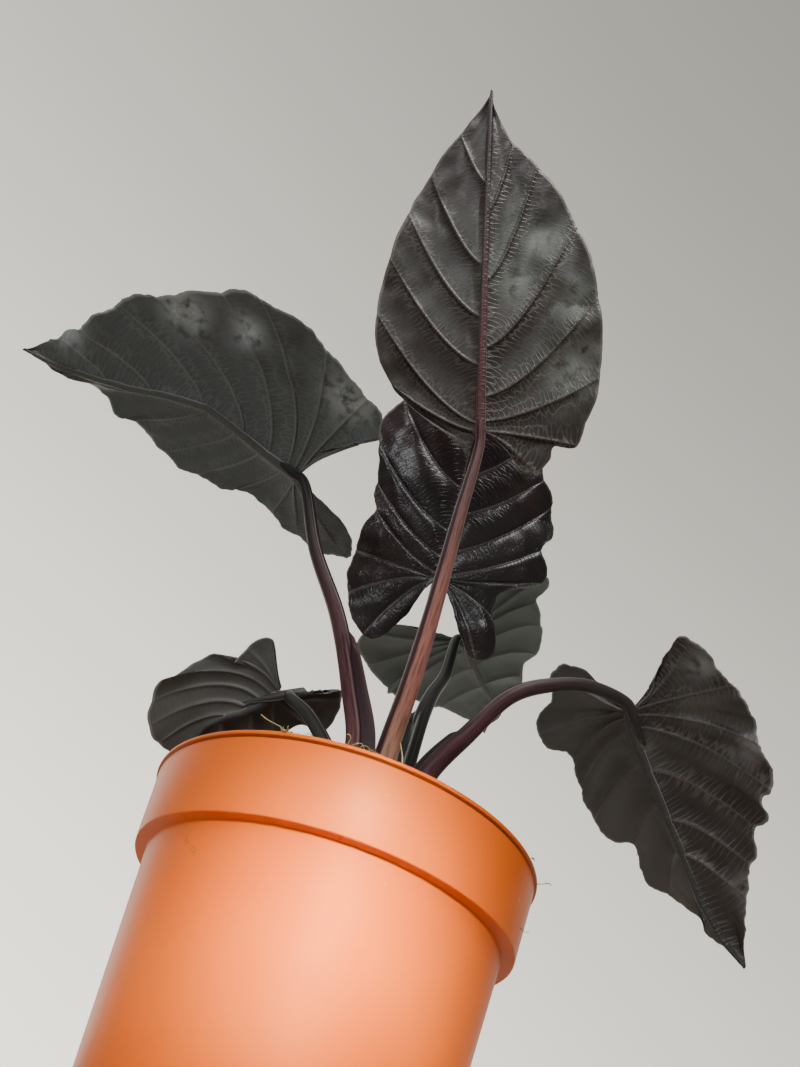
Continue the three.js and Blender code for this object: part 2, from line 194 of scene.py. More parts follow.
def smoothCurve(points, count, evenness=0.5, carryOn=True):
    # A Catmull-Rom curve through the points, cut into even steps
    points = np.array(points, float)
    first = 2 * points[0] - points[1] if carryOn else points[0]
    last = 2 * points[-1] - points[-2] if carryOn else points[-1]
    padded = np.vstack([first, points, last])
    t = np.linspace(0, 1, 33)[:-1, None]
    spans = []
    for p0, p1, p2, p3 in zip(padded, padded[1:], padded[2:], padded[3:]):
        d0, d1, d2 = (np.linalg.norm(b - a) ** evenness for a, b in ((p0, p1), (p1, p2), (p2, p3)))
        leave = ((p1 - p0) / d0 - (p2 - p0) / (d0 + d1) + (p2 - p1) / d1) * d1
        arrive = ((p2 - p1) / d1 - (p3 - p1) / (d1 + d2) + (p3 - p2) / d2) * d1
        spans.append((2 * t ** 3 - 3 * t ** 2 + 1) * p1 + (t ** 3 - 2 * t ** 2 + t) * leave
                     + (3 * t ** 2 - 2 * t ** 3) * p2 + (t ** 3 - t ** 2) * arrive)
    fine = np.vstack([*spans, points[-1:]])
    travelled = np.r_[0, np.cumsum(np.linalg.norm(np.diff(fine, axis=0), axis=1))]
    places = np.linspace(0, travelled[-1], count)
    even = np.column_stack([np.interp(places, travelled, axis) for axis in fine.T])
    return even, travelled[-1]


def tubeMesh(name, path, radiusAt, sides):
    # A round bar along the path. radiusAt(share of the path, angle) gives its radius; both ends close.
    steps = len(path) - 1
    mesh, column, row = gridMesh(name, sides, steps)
    tangent = unit(np.gradient(path, axis=0))
    across = [np.array([1.0, 0.0, 0.0])]
    for direction in tangent:
        carried = across[-1] - direction * np.dot(across[-1], direction)
        across.append(carried / np.linalg.norm(carried))
    across = np.array(across[1:])
    aside = np.cross(tangent, across)
    angle = 2 * np.pi * column / sides
    share = row / steps
    radius = radiusAt(share, angle)
    radius[(row == 0) | (row == steps)] = 0
    spoke = across[row] * np.cos(angle)[:, None] + aside[row] * np.sin(angle)[:, None]
    setPlaces(mesh, path[row] + spoke * radius[:, None])
    return mesh, share, angle


def turnedMesh(name, profile, segments, bevels=()):
    # A profile of (radius, height) turned round the Z axis; rings named in bevels are rounded. Blender's
    # spin lists the faces in another order each run, so the faces are those of a grid.
    mesh, column, row = gridMesh(name, segments, len(profile) - 1)
    angle = 2 * np.pi * column / segments
    radius, height = np.array(profile, float)[row].T
    setPlaces(mesh, np.column_stack([radius * np.cos(angle), radius * np.sin(angle), height]))
    bm = bmesh.new()
    bm.from_mesh(mesh)
    bmesh.ops.remove_doubles(bm, verts=bm.verts, dist=0.01 * mm)
    bmesh.ops.recalc_face_normals(bm, faces=bm.faces)
    for radius, height, width in bevels:
        ring = [edge for edge in bm.edges
                if all(abs(math.hypot(v.co.x, v.co.y) - radius * mm) < 0.02 * mm
                       and abs(v.co.z - height * mm) < 0.02 * mm for v in edge.verts)]
        bmesh.ops.bevel(bm, geom=ring, offset=width * mm, segments=3, affect="EDGES", profile=0.5,
                        material=-1)
    bm.to_mesh(mesh)
    bm.free()
    return mesh


def applyModifiers(piece):
    finished = bpy.data.meshes.new_from_object(piece.evaluated_get(bpy.context.evaluated_depsgraph_get()))
    piece.modifiers.clear()
    piece.data = finished


# Camera: below the rim, looking up at the plant

camera = {
    "place": (0, -279.0, 10.44),
    "right": (0.95285, -0.17723, 0.24632),
    "up": (-0.29982, -0.67506, 0.67409),
    "back": (0.04681, -0.71616, -0.69637),
    "lens": 26.3,
}


def addCamera():
    data = bpy.data.cameras.new("photoCamera")
    data.sensor_fit = "VERTICAL"
    data.sensor_height = 36
    data.lens = camera["lens"]
    data.clip_start = 0.01
    made = bpy.data.objects.new("photoCamera", data)
    axes = Matrix((camera["right"], camera["up"], camera["back"])).transposed()
    made.matrix_world = Matrix.Translation(Vector(camera["place"]) * mm) @ axes.to_4x4()
    bpy.context.scene.collection.objects.link(made)
    bpy.context.scene.camera = made


addCamera()
print("camera set")


# Stage: pale floor, pale air that brightens towards the back and left, and soft lights

stage = {
    "floorSize": 6000,
    "floorColor": rgb(0.6, 0.585, 0.55),
    "floorRoughness": 0.8,
    "airColor": rgb(1.0, 0.965, 0.85),
    "brighterTowards": (-0.46, 0.6, -0.65),
    "brightening": 1.3,
    "wallTowards": (-0.047, 0.716, 0.696),
    "wallReach": (0.42, 0.72),
    "shade": 0.36,
    "lights": [
        {"name": "windowLight", "place": (75, -930, 785), "aim": (-15, -100, 290), "size": (450, 450),
         "power": 0.9, "color": (1.0, 0.99, 0.97), "spread": 44},
        {"name": "lampLight", "place": (36, -380, 140), "aim": (4, -58, 80), "size": (60, 50),
         "power": 0.082, "color": (1.0, 0.98, 0.94), "spread": 15.5},
        {"name": "sideLight", "place": (-480, -920, 220), "aim": (0, -30, 310), "size": (200, 200),
         "power": 0.2, "color": (0.93, 0.97, 1.0), "spread": 50},
        {"name": "skyLight", "place": (-700, -300, 1300), "aim": (0, 0, 180), "size": (900, 900),
         "power": 4, "color": (0.93, 0.97, 1.0), "spread": 180},
    ],
}


def addAir():
    bpy.context.scene.world = bpy.data.worlds.new("studioAir")
    paint = Paint(bpy.context.scene.world, "Background")
    direction = paint.add("TexCoord", {})["Generated"]
    facing = paint.vectors("DOT_PRODUCT", direction, stage["brighterTowards"])["Value"]
    growth = paint.compute("EXPONENT", paint.times(facing, stage["brightening"]))
    wall = paint.vectors("DOT_PRODUCT", direction, stage["wallTowards"])["Value"]
    paint.set("Color", stage["airColor"])
    paint.set("Strength", paint.times(growth, paint.ramp(wall, *stage["wallReach"], stage["shade"], 1.0)))


def addStage():
    bm = bmesh.new()
    bmesh.ops.create_grid(bm, x_segments=1, y_segments=1, size=stage["floorSize"] / 2 * mm)
    floor = bpy.data.objects.new("floor", meshFrom(bm, "floor"))
    bpy.context.scene.collection.objects.link(floor)
    paint = startMaterial("floorPaper", stage["floorRoughness"])
    paint.set("Base Color", stage["floorColor"])
    floor.data.materials.append(paint.owner)
    for light in stage["lights"]:
        data = bpy.data.lights.new(light["name"], "AREA")
        data.shape = "RECTANGLE"
        data.size, data.size_y = (side * mm for side in light["size"])
        data.energy = light["power"]
        data.color = light["color"]
        data.spread = math.radians(light["spread"])
        made = bpy.data.objects.new(light["name"], data)
        made.location = Vector(light["place"]) * mm
        aim = Vector(light["aim"]) * mm - made.location
        made.rotation_euler = aim.to_track_quat("-Z", "Y").to_euler()
        bpy.context.scene.collection.objects.link(made)


addAir()
addStage()
print("stage set")


# Pot

pot = {
    "height": 125, "lipRadius": 70, "lipThickness": 1.4, "lipOverhang": 0.85, "bandHeight": 25,
    "bandFootRadius": 66, "bodyTopRadius": 61.8, "bodyFootRadius": 47.4, "footChamfer": 1.2,
    "wall": 1.3, "floor": 2, "holes": 8, "holeSides": 32, "holeRadius": 4, "holeCircle": 35, "segments": 192,
    "color": rgb(0.7, 0.122, 0.006), "deepColor": rgb(0.64, 0.1, 0.004), "dirtColor": rgb(0.1, 0.05, 0.02),
    "specular": 0.45, "glossTint": rgb(1, 0.5, 0.25), "roughness": (0.36, 0.46), "streakScale": (55, 55, 6),
    "speckScale": 120, "specks": (0.02, 0.07), "dirtShare": (0.78, 0.95, 0.0, 0.75),
    "dustShare": (0.85, 0.95, 0.0, 0.35),
    # The colour of the dark line under the lip is painted shadow.
    "lipGroove": 0.6, "lipShadowColor": rgb(0.16, 0.03, 0.006), "dustColor": rgb(0.9, 0.5, 0.3),
    "smears": [((-44.4, -41.9, 94.7), (-42.8, -43.4, 92.9)), ((-41.2, -44.5, 91.6), (-39.2, -45.9, 90.4))],
    "smearColor": rgb(0.16, 0.13, 0.01), "smearReach": (0.4, 1.1), "holeDepth": 8, "sideRing": 50,
}
bandFoot = pot["height"] - pot["bandHeight"]
bandTopRadius = pot["lipRadius"] - pot["lipOverhang"]
lipFoot = pot["height"] - pot["lipThickness"]


def bodyRadius(height):
    return pot["bodyFootRadius"] + (pot["bodyTopRadius"] - pot["bodyFootRadius"]) * height / bandFoot


def bandRadius(height):
    share = (height - bandFoot) / (pot["bandHeight"] - pot["lipThickness"])
    return pot["bandFootRadius"] + (bandTopRadius - pot["bandFootRadius"]) * share


def potMaterial():
    paint = startMaterial("orangePlastic", pot["roughness"][0], pot["specular"],
                          **{"Specular Tint": pot["glossTint"]})
    place = paint.place()
    streaks = paint.noiseAt(paint.stretch(place, pot["streakScale"]), 1.0, 3)
    plastic = paint.mix(paint.ramp(paint.noiseAt(place, 22, 4), 0.3, 0.75), pot["color"], pot["deepColor"])
    # Ragged specks of dirt and dust, each in its own cell
    wobble = paint.add("TexNoise", {"Vector": place, "Scale": 900.0, "Detail": 2.0})["Color"]
    ragged = paint.add("Mix", {0: 0.0012, 4: place, 5: wobble}, data_type="VECTOR")[1]
    cells = paint.add("TexVoronoi", {"Vector": ragged, "Scale": pot["speckScale"]})
    chosen = paint.add("SeparateColor", {0: cells["Color"]})
    near = paint.ramp(cells["Distance"], *pot["specks"], 1.0, 0.0)
    dirty = paint.times(near, paint.ramp(chosen[0], *pot["dirtShare"]))
    spotted = paint.mix(dirty, plastic, pot["dirtColor"])
    color = paint.mix(paint.times(near, paint.ramp(chosen[1], *pot["dustShare"])), spotted, pot["dustColor"])
    # The dark line under the lip: painted shadow in the recess under the lip overhang
    height = paint.add("SeparateXYZ", {0: place})["Z"]
    lip = lipFoot * mm
    inLipShadow = paint.times(paint.ramp(height, lip - 0.00085, lip - 0.0006, 0.0, 0.8),
                           paint.ramp(height, lip - 0.0001, lip + 0.0001, 1.0, 0.0))
    color = paint.mix(inLipShadow, color, pot["lipShadowColor"])
    for first, second in pot["smears"]:                    # two little smears of moss under the band
        first, second = Vector(first) * mm, Vector(second) * mm
        reach = (second - first).length
        run = paint.vectors("DOT_PRODUCT", paint.vectors("SUBTRACT", place, first)[0],
                            (second - first) / reach)["Value"]
        run = paint.compute("MINIMUM", paint.compute("MAXIMUM", run, 0.0), reach)
        nearest = paint.add("VectorMath", {0: (second - first) / reach, "Scale": run}, operation="SCALE")[0]
        gap = paint.vectors("DISTANCE", paint.vectors("SUBTRACT", place, first)[0], nearest)["Value"]
        patchy = paint.ramp(paint.noiseAt(place, 1500, 3), 0.46, 0.6)
        inner, outer = (distance * mm for distance in pot["smearReach"])
        smear = paint.times(paint.ramp(gap, inner, outer, 1.0, 0.0), patchy)
        color = paint.mix(smear, color, pot["smearColor"])
    paint.set("Base Color", color)
    paint.set("Roughness", paint.ramp(streaks, 0.3, 0.7, *pot["roughness"]))
    relief = paint.plus(paint.times(streaks, 2.0), paint.times(paint.noiseAt(place, 600, 2), 0.3))
    paint.bump(relief, 0.00006, 0.6)
    return paint.owner


def makePot():
    wall, groove, chamfer = pot["wall"], pot["lipGroove"], pot["footChamfer"]
    ledge = bandFoot + wall
    profile = [
        (0, 0), (pot["bodyFootRadius"] - chamfer, 0), (bodyRadius(chamfer), chamfer),
        (bodyRadius(pot["sideRing"]), pot["sideRing"]), (pot["bodyTopRadius"], bandFoot),
        (pot["bandFootRadius"], bandFoot), (bandTopRadius, lipFoot - groove),
        (bandTopRadius - groove, lipFoot - groove), (bandTopRadius - groove, lipFoot),
        (pot["lipRadius"], lipFoot), (pot["lipRadius"], pot["height"]),
        (bandTopRadius - wall, pot["height"]), (pot["bandFootRadius"] - wall, ledge),
        (pot["bodyTopRadius"] - wall, ledge), (bodyRadius(pot["floor"]) - wall, pot["floor"]),
        (0, pot["floor"]),
    ]
    bevels = [(pot["bandFootRadius"], bandFoot, 0.5), (pot["lipRadius"], lipFoot, 0.4),
              (pot["lipRadius"], pot["height"], 0.55), (bandTopRadius - wall, pot["height"], 0.4),
              (pot["bodyTopRadius"], bandFoot, 0.3), (bandTopRadius, lipFoot - groove, 0.15)]
    mesh = turnedMesh("plantPot", profile, pot["segments"], bevels)
    piece = addPiece("plantPot", mesh, [potMaterial()], ["pot"])
    bm = bmesh.new()
    for index in range(pot["holes"]):
        angle = 2 * math.pi * index / pot["holes"]
        place = Vector((math.cos(angle), math.sin(angle), 0)) * pot["holeCircle"] * mm
        bmesh.ops.create_cone(bm, cap_ends=True, segments=pot["holeSides"], radius1=pot["holeRadius"] * mm,
                              radius2=pot["holeRadius"] * mm, depth=pot["holeDepth"] * mm,
                              matrix=Matrix.Translation(place))
    cutter = bpy.data.objects.new("drainCutter", meshFrom(bm, "drainCutter"))
    bpy.context.scene.collection.objects.link(cutter)
    cut = piece.modifiers.new("drainHoles", "BOOLEAN")
    cut.object = cutter
    cut.operation = "DIFFERENCE"
    applyModifiers(piece)
    bpy.data.objects.remove(cutter)


makePot()
print("pot made")


# Leaves

# Junction of blade and stalk, the point that bows the midrib, the tip, the way the upper face looks.
# Each half: its outline in the flat leaf as (along the midrib, out from it), from behind the tip to the
# shoulder (edge) and on round the lobe to before the notch (lobe), and its side veins as (start on the
# midrib, end on the outline). wander is how far the midrib strays to the right of the straight line.
# dents are (along, across, radius, depth) and shines, glossy spots with a pale painted highlight, (along,
# across, radius).
# A leaf's grey sides, for its left and its right half, give how much grey sheen is painted towards the
# margin.
leaves = [
    {
        "name": "leaf_1", "junction": (4, -83, 271), "bow": (-17, -134, 322), "tip": (-35, -175, 380),
        "upperFace": (0.14, 0.73, 0.67), "netSides": (1, 0.6), "greySides": (0.3, 0), "length": 148,
        "fold": 8, "curl": 14, "quilt": 1.2, "ruffle": 0.9, "waves": 3, "cell": 0.85, "columns": 58,
        "scallop": 0.6, "nicks": 0.25, "buckle": 0.9,
        "dents": [(62, -33, 8, -1.5), (84, -31, 6, 1.3), (72, -24, 5, -1.1), (40, -34, 7, -1.3),
                  (50, -40, 5, 1.2), (18, 34, 8, 1.5)],
        "shines": [(24, -37, 12), (50, -38, 10), (62, -12, 9), (80, -22, 8)],
        "right": {
            "edge": [(141, 4), (131, 11), (110, 25), (88, 35), (65, 42), (45, 45), (30, 43), (17, 37)],
            "lobe": [(6, 24), (-1, 14), (-6, 8), (-11, 5.5), (-8, 3.8)],
            "veins": [(105, 128, 12), (69, 110, 24), (47, 92, 33), (27, 72, 40), (3, 48, 44),
                      (0, 20, 37)],
        },
        "left": {
            "edge": [(139, 2), (124, 10), (106, 25), (80, 39), (55, 46), (36, 48), (15, 47), (3, 42)],
            "lobe": [(-7, 39), (-6, 30), (-12, 28), (-17, 23), (-16, 17), (-8, 11)],
            "veins": [(92, 124, 11), (62, 112, 21), (34, 84, 37), (14, 52, 46), (4, 20, 47), (0, -6, 39),
                      (0, -17, 22)],
        },
        "stalk": [(6, -21, 101), (6, -21, 128), (6, -23, 153), (7, -34, 178), (7, -47, 204),
                  (6, -64, 236)],
        "footRadius": 4.7, "topRadius": 1.75, "setBack": 4.5,
        "sheath": {"reach": 1.5, "dig": 0.6, "height": 0.3, "groove": 53},
    },
    {
        "name": "leaf_2", "junction": (-62, -60, 238), "bow": (-123, -76, 250), "tip": (-180, -79, 240),
        "upperFace": (-0.02, 0.2, 0.98), "length": 120, "fold": 24, "curl": 16, "quilt": 0.75,
        "ruffle": 1.2, "cell": 0.9, "columns": 58, "scallop": 1.6, "nicks": 0.9, "buckle": 1.0,
        "dents": [(60, -35, 4, 1.8), (55, -31, 3.2, -1.6), (65, -30, 3.2, -1.4), (43, -37, 4.5, 1.7),
                  (37, -34, 3.5, -1.5), (98, 6, 4, 1.2), (84, -24, 3.5, 1.3), (20, -37, 5, -1.4),
                  (26, -30, 5, 1.2), (-8, -36, 5, 1.3)],
        "shines": [(63, -36, 8), (40, -40, 6), (104, -11, 6), (-3, -39, 9)],
        "right": {
            "edge": [(113, 3), (108, 8), (102, 9), (86, 15), (81, 21), (69, 23), (60, 31), (49, 33),
                     (37, 34), (24, 33), (13, 27), (3, 31)],
            "lobe": [(-8, 33), (-20, 32), (-32, 28), (-37, 24), (-34, 17), (-24, 11), (-12, 7)],
            "veins": [(88, 106, 8.5), (68, 95, 12), (43, 73, 23), (29, 57, 31), (17, 40, 34), (6, 20, 31),
                      (0, 3, 31), (0, -12, 33), (0, -34, 26)],
        },
        "left": {
            "edge": [(114, 3), (103, 12), (94, 21), (85, 31), (71, 39), (56, 48), (42, 56), (30, 56),
                     (13, 52), (0, 47)],
            "lobe": [(-14, 41), (-20, 32), (-15, 27), (-6, 19), (-2, 11)],
            "veins": [(85, 108, 8), (66, 101, 14), (45, 88, 28), (26, 74, 38), (14, 52, 50), (5, 38, 56),
                      (2, 12, 52), (0, -8, 43), (0, -19, 33)],
        },
        "wander": [(0, 1.5), (15, 0.5), (43, -4.5), (60, -1), (75, 3), (100, 5), (110, 3), (120, 0)],
        "stalk": [(-5, -20, 101), (-5, -20, 128), (-6, -23, 152), (-14, -29, 169), (-27, -41, 190),
                  (-44, -50, 211)],
        "footRadius": 4.4, "topRadius": 2.15, "setBack": 3.1,
        "sheath": {"reach": 5.2, "dig": 1.8, "height": 0.56, "groove": -42, "abrupt": 0.3, "front": 0.3},
        "taper": 1.0,
    },
    {
        "name": "leaf_3", "junction": (6, -10, 251), "bow": (3, -30, 308), "tip": (0, -71, 359),
        "upperFace": (-0.03, -0.87, -0.49), "length": 125, "fold": 12, "curl": 14, "quilt": 1.6,
        "ruffle": 1.2, "cell": 0.9, "columns": 54, "scallop": 1.2, "nicks": 0.5, "buckle": 1.0,
        "dents": [(-22, 24, 7, 2.0)],
        "right": {
            "edge": [(121, 4), (112, 13), (98, 25), (82, 33), (67, 37), (55, 45), (46, 46), (38, 48),
                     (28, 45), (19, 49), (12, 48), (6, 38)],
            "lobe": [(0, 29), (-6, 28), (-16, 30), (-27, 32), (-33, 28), (-33, 22), (-24, 16), (-12, 10)],
            "veins": [(88, 110, 15), (56, 84, 32), (35, 64, 39), (15, 52, 46), (3, 28, 45), (0, 12, 48),
                      (0, -12, 29), (0, -33, 25)],
        },
        "left": {
            "edge": [(121, 5), (112, 16), (100, 29), (88, 38), (75, 46), (62, 45), (52, 41), (38, 40),
                     (27, 37), (18, 40), (5, 41)],
            "lobe": [(-12, 40), (-25, 35), (-35, 27), (-35, 20), (-27, 14), (-15, 8)],
            "veins": [(88, 112, 16), (70, 100, 29), (50, 87, 38), (26, 62, 45), (12, 42, 40), (3, 27, 37),
                      (0, 5, 41), (0, -17, 38), (0, -34, 26)],
        },
        "stalk": [(2, -4, 101), (2, -4, 128), (5, -5, 162), (7, -6, 195), (7, -7, 225)],
        "footRadius": 3.7, "topRadius": 2.1, "setBack": 3.6,
        "sheath": {"reach": 1, "dig": 0.5, "height": 0.3, "groove": 135},
    },
    {
        "name": "leaf_4", "junction": (27, 35, 257), "bow": (55, 66, 264), "tip": (61, 121, 264),
        "upperFace": (-0.49, 0.12, 0.86), "length": 94, "fold": 18, "curl": 14, "quilt": 2.2,
        "ruffle": 1.1, "cell": 0.95, "columns": 50, "scallop": 1.0, "nicks": 0.3, "buckle": 0.6,
        "right": {
            "edge": [(89, 7), (79, 12), (70, 20), (58, 23), (49, 25), (42, 33), (30, 38), (18, 40),
                     (9, 43)],
            "lobe": [(3, 52), (-6, 54), (-20, 46), (-24, 34), (-16, 20), (-8, 10)],
            "veins": [(64, 79, 12), (46, 57, 23), (26, 43, 32), (12, 24, 39), (3, 10, 43), (0, -3, 54),
                      (0, -20, 45)],
        },
        "left": {
            "edge": [(88, 6), (81, 12), (71, 20), (61, 30), (47, 38), (32, 45), (17, 49), (5, 48)],
            "lobe": [(-8, 47), (-20, 46), (-34, 40), (-37, 31), (-30, 19), (-20, 14), (-10, 8)],
            "veins": [(64, 82, 11), (47, 64, 27), (27, 45, 39), (10, 20, 48), (3, 4, 48), (0, -18, 46),
                      (0, -36, 34)],
        },
        "wander": [(0, 0), (25, -3), (45, -2.5), (65, 2), (94, 0)],
        "stalk": [(14, -7, 101), (14, -6, 128), (15, -4, 158), (16, -2, 184), (18, 4, 199),
                  (22, 15, 218)],
        "footRadius": 4.1, "topRadius": 2.2, "setBack": 3.4,
        "sheath": {"reach": 2.6, "dig": 1.8, "height": 0.5, "groove": 212, "spread": 42, "abrupt": 0.8},
    },
    {
        "name": "leaf_5", "junction": (93, -29, 199), "bow": (117, -8, 179), "tip": (157, 15, 135),
        "upperFace": (0.44, 0.48, 0.76), "netSides": (0.15, 1), "greySides": (1, 0), "netLength": 13,
        "length": 101, "fold": 20, "curl": 14, "quilt": 1.5, "ruffle": 1.4, "waves": 5, "cell": 0.85,
        "columns": 54, "scallop": 1.0, "nicks": 0.8, "buckle": 0.8,
        "shines": [(-9, 31, 6), (33, 36, 6), (80, 14, 5)],
        "right": {
            "edge": [(95, 3), (88, 8), (82, 12), (76, 15), (70, 22), (64, 24), (60, 31), (53, 32),
                     (50, 37), (42, 39), (28, 40), (15, 41), (4, 40)],
            "lobe": [(-5, 36), (-12, 35), (-19, 33), (-22, 28), (-18, 22), (-12, 16), (-5, 10)],
            "veins": [(64, 83, 11), (51, 73, 18), (30, 62, 25), (9, 50, 36), (3, 31, 40), (0, 2, 39),
                      (0, -20, 32)],
        },
        "left": {
            "edge": [(95, 5), (91, 10), (86, 9), (82, 13), (79, 18), (73, 24), (64, 25), (58, 26),
                     (55, 31), (45, 37), (32, 36), (22, 35), (15, 36), (11, 42)],
            "lobe": [(4, 45), (-3, 43), (-9, 34), (-15, 30), (-21, 28), (-24, 22), (-20, 16), (-10, 9)],
            "veins": [(80, 92, 9), (64, 78, 19), (45, 60, 26), (27, 47, 36), (11, 32, 36), (3, 19, 35),
                      (0, 4, 44), (0, -22, 26)],
        },
        "wander": [(0, -1), (10, -3), (60, -4), (80, -5.5), (92, -4), (101, 0)],
        "stalk": [(19, -19, 101), (19, -19, 126), (22, -21, 149), (32, -30, 165), (44, -38, 182),
                  (59, -39, 192), (73, -37, 198)],
        "footRadius": 4.8, "topRadius": 2.2, "setBack": 3.1,
        "sheath": {"reach": 3.2, "dig": 1.2, "height": 0.45, "groove": 122, "spread": 44, "abrupt": 0.3},
        "taper": 1.3,
    },
    {
        "name": "leaf_6", "junction": (-42, 2, 175), "bow": (-62, 3, 163), "tip": (-71, 23, 143),
        "upperFace": (-0.23, 0.7, 0.67), "length": 50, "fold": 16, "curl": 12, "quilt": 1.2,
        "ruffle": 1.1, "waves": 3, "cell": 0.7, "columns": 40, "scallop": 0.6, "nicks": 0.3,
        "buckle": 0.5,
        "right": {
            "edge": [(47, 5), (40, 12), (30, 17), (19, 19), (8, 20), (0, 18)],
            "lobe": [(-8, 15), (-17, 20), (-24, 12), (-26, 5), (-24, 1.5), (-12, 2)],
            "veins": [(27, 40, 12), (14, 24, 19), (3, 7, 20), (0, -15, 19), (0, -25, 7)],
        },
        "left": {
            "edge": [(48, 5), (48, 12), (45, 20), (40, 25), (34, 28), (29, 26), (22, 25), (17, 25),
                     (13, 18)],
            "lobe": [(8, 22), (2, 24), (-1, 22), (-1, 15), (-1, 8)],
            "veins": [(24, 48, 12), (15, 45, 19), (8, 40, 25), (3, 31, 27), (0, 18, 25), (0, 8, 22),
                      (0, 0, 23)],
        },
        "wander": [(0, 0), (10, 2), (18, 2), (24, 0), (33, -2.5), (50, 0)],
        "stalk": [(-9, -9, 101), (-9, -9, 128), (-13, -11, 148), (-20, -10, 158), (-28, -8, 166),
                  (-36, -4, 172)],
        "footRadius": 3.8, "topRadius": 2.1, "setBack": 3.7,
        "sheath": {"reach": 1, "dig": 0.5, "height": 0.3, "groove": -45},
    },
]

# What a leaf and its sheath have where their own table doesn't say otherwise
plainLeaf = {"waves": 4, "dents": [], "shines": [], "netSides": (1, 1), "greySides": (0, 0), "netLength": 6,
             "taper": 0.8}
plainSheath = {"spread": 40, "abrupt": 0, "front": 1}
for leaf in leaves:
    straight = [(0, 0), (leaf["length"], 0)]
    leaf.update({"wander": straight, **plainLeaf, **leaf, "sheath": {**plainSheath, **leaf["sheath"]}})

# What all leaves share: how thick the blade is, how far its ribs stand out below, how wide they are
blade = {
    "lamina": 0.55, "marginLamina": 0.24, "ribDepth": 1.6, "ribTipDepth": 0.3, "ribHalfWidth": 2.0,
    "ribTipHalfWidth": 0.4, "ribCorner": 5, "veinHeight": 0.36, "veinSpread": 0.32, "veinGroove": 0.22,
    "grooveSpread": 0.8, "sweep": 1.55, "curlReach": 44, "panelWidth": 14, "crowding": 1.35,
    "maxThickness": 4, "pillowPeak": 0.66, "pillowRound": 0.75, "pillowLimits": (0.15, 1.15),
    "cadRows": 21, "cadLobeRows": 7,
    "unevenness": 0.8, "slowLength": 19, "quickLength": 8, "nickLength": 5, "netStep": 1.9, "edgeSteps": 700,
    "lobeSteps": 300, "notch": (-1.5, 3.6), "rowEvenness": 0.45,
}


def ribFrame(leaf, x):
    # Place, direction, sideways direction and upward direction at a spot x along the midrib
    share = np.clip(x / leaf["length"], 0, None)[..., None]
    start, bow, tip = (np.array(leaf[key], float) for key in ("junction", "bow", "tip"))
    point = (1 - share) ** 2 * start + 2 * share * (1 - share) * bow + share ** 2 * tip
    along = unit(2 * (1 - share) * (bow - start) + 2 * share * (tip - bow))
    side = unit(np.cross(along, np.array(leaf["upperFace"], float)))
    up = np.cross(side, along)
    return point + along * np.minimum(x, 0)[..., None], along, side, up


def halfOutline(leaf, half):
    edgeSteps, lobeSteps = blade["edgeSteps"], blade["lobeSteps"]
    edge, edgeLength = smoothCurve([(leaf["length"], 0), *half["edge"]], edgeSteps, 0, False)
    lobe, lobeLength = smoothCurve([half["edge"][-1], *half["lobe"], blade["notch"]], lobeSteps, 0, False)
    points = np.vstack([edge, lobe[1:]])
    total = edgeLength + lobeLength
    travelled = np.r_[np.linspace(0, edgeLength, edgeSteps),
                      edgeLength + np.linspace(0, lobeLength, lobeSteps)[1:]]
    share = travelled / total
    ends = [share[np.argmin(((points - vein[1:]) ** 2).sum(1))] for vein in half["veins"]]
    panel = np.interp(share, [0, *ends, 1], np.arange(len(ends) + 2))
    nicks = np.array([noise.fractal((at / blade["nickLength"], total, points[5, 1]), 0.8, 2, 3)
                      for at in travelled])
    pulled = leaf["scallop"] * (np.abs(np.sin(np.pi * panel)) - 0.6) + leaf["nicks"] * nicks
    along = unit(np.gradient(points, axis=0))
    outwards = np.column_stack([-along[:, 1], along[:, 0]])
    halfway = edgeSteps // 2
    outwards = outwards * np.sign(outwards[halfway] @ (points[halfway] - points[-1]))
    quiet = smoothStep(travelled, 2, 12) * smoothStep(total - travelled, 4, 14)
    points = points + outwards * (pulled * quiet)[:, None]
    return {"points": points, "share": share, "length": total, "edgeShare": edgeLength / total,
            "ends": ends, "ribs": [vein[0] for vein in half["veins"]]}


def rowPlan(leaf, halves):
    # Rows run from the midrib to the margin, from the tip back to the junction, then fan round the lobes
    knots = {float(leaf["length"]), 0.0}
    for half in halves:
        half["ribKnots"] = [leaf["length"]] + [rib for rib in half["ribs"] if rib > 0] + [0]
        blades = sum(rib > 0 for rib in half["ribs"])
        half["endKnots"] = [0, *half["ends"][:blades], half["ends"][blades]]
        knots.update(float(rib) for rib in half["ribKnots"])
    knots = sorted(knots, reverse=True)
    endAt = [lambda x, half=half: np.interp(-np.asarray(x), -np.array(half["ribKnots"], float),
                                            half["endKnots"]) for half in halves]
    ribX = []
    for high, low in zip(knots, knots[1:]):
        spans = [abs(end(low) - end(high)) * half["length"] for end, half in zip(endAt, halves)]
        need = max([high - low] + spans)
        count = max(2, math.ceil(need / leaf["cell"]))
        t = np.linspace(0, 1, count, endpoint=False)
        even = blade["rowEvenness"]
        ribX.append(high + (low - high) * (even * t + (1 - even) * (1 - np.cos(np.pi * t)) / 2))
    ribX = np.concatenate(ribX)
    fan = math.ceil(max((1 - half["endKnots"][-1]) * half["length"] for half in halves) / leaf["cell"])
    rows = [np.r_[end(ribX), np.linspace(half["endKnots"][-1], 1, fan + 1)]
            for end, half in zip(endAt, halves)]
    return np.r_[ribX, np.zeros(fan + 1)], rows


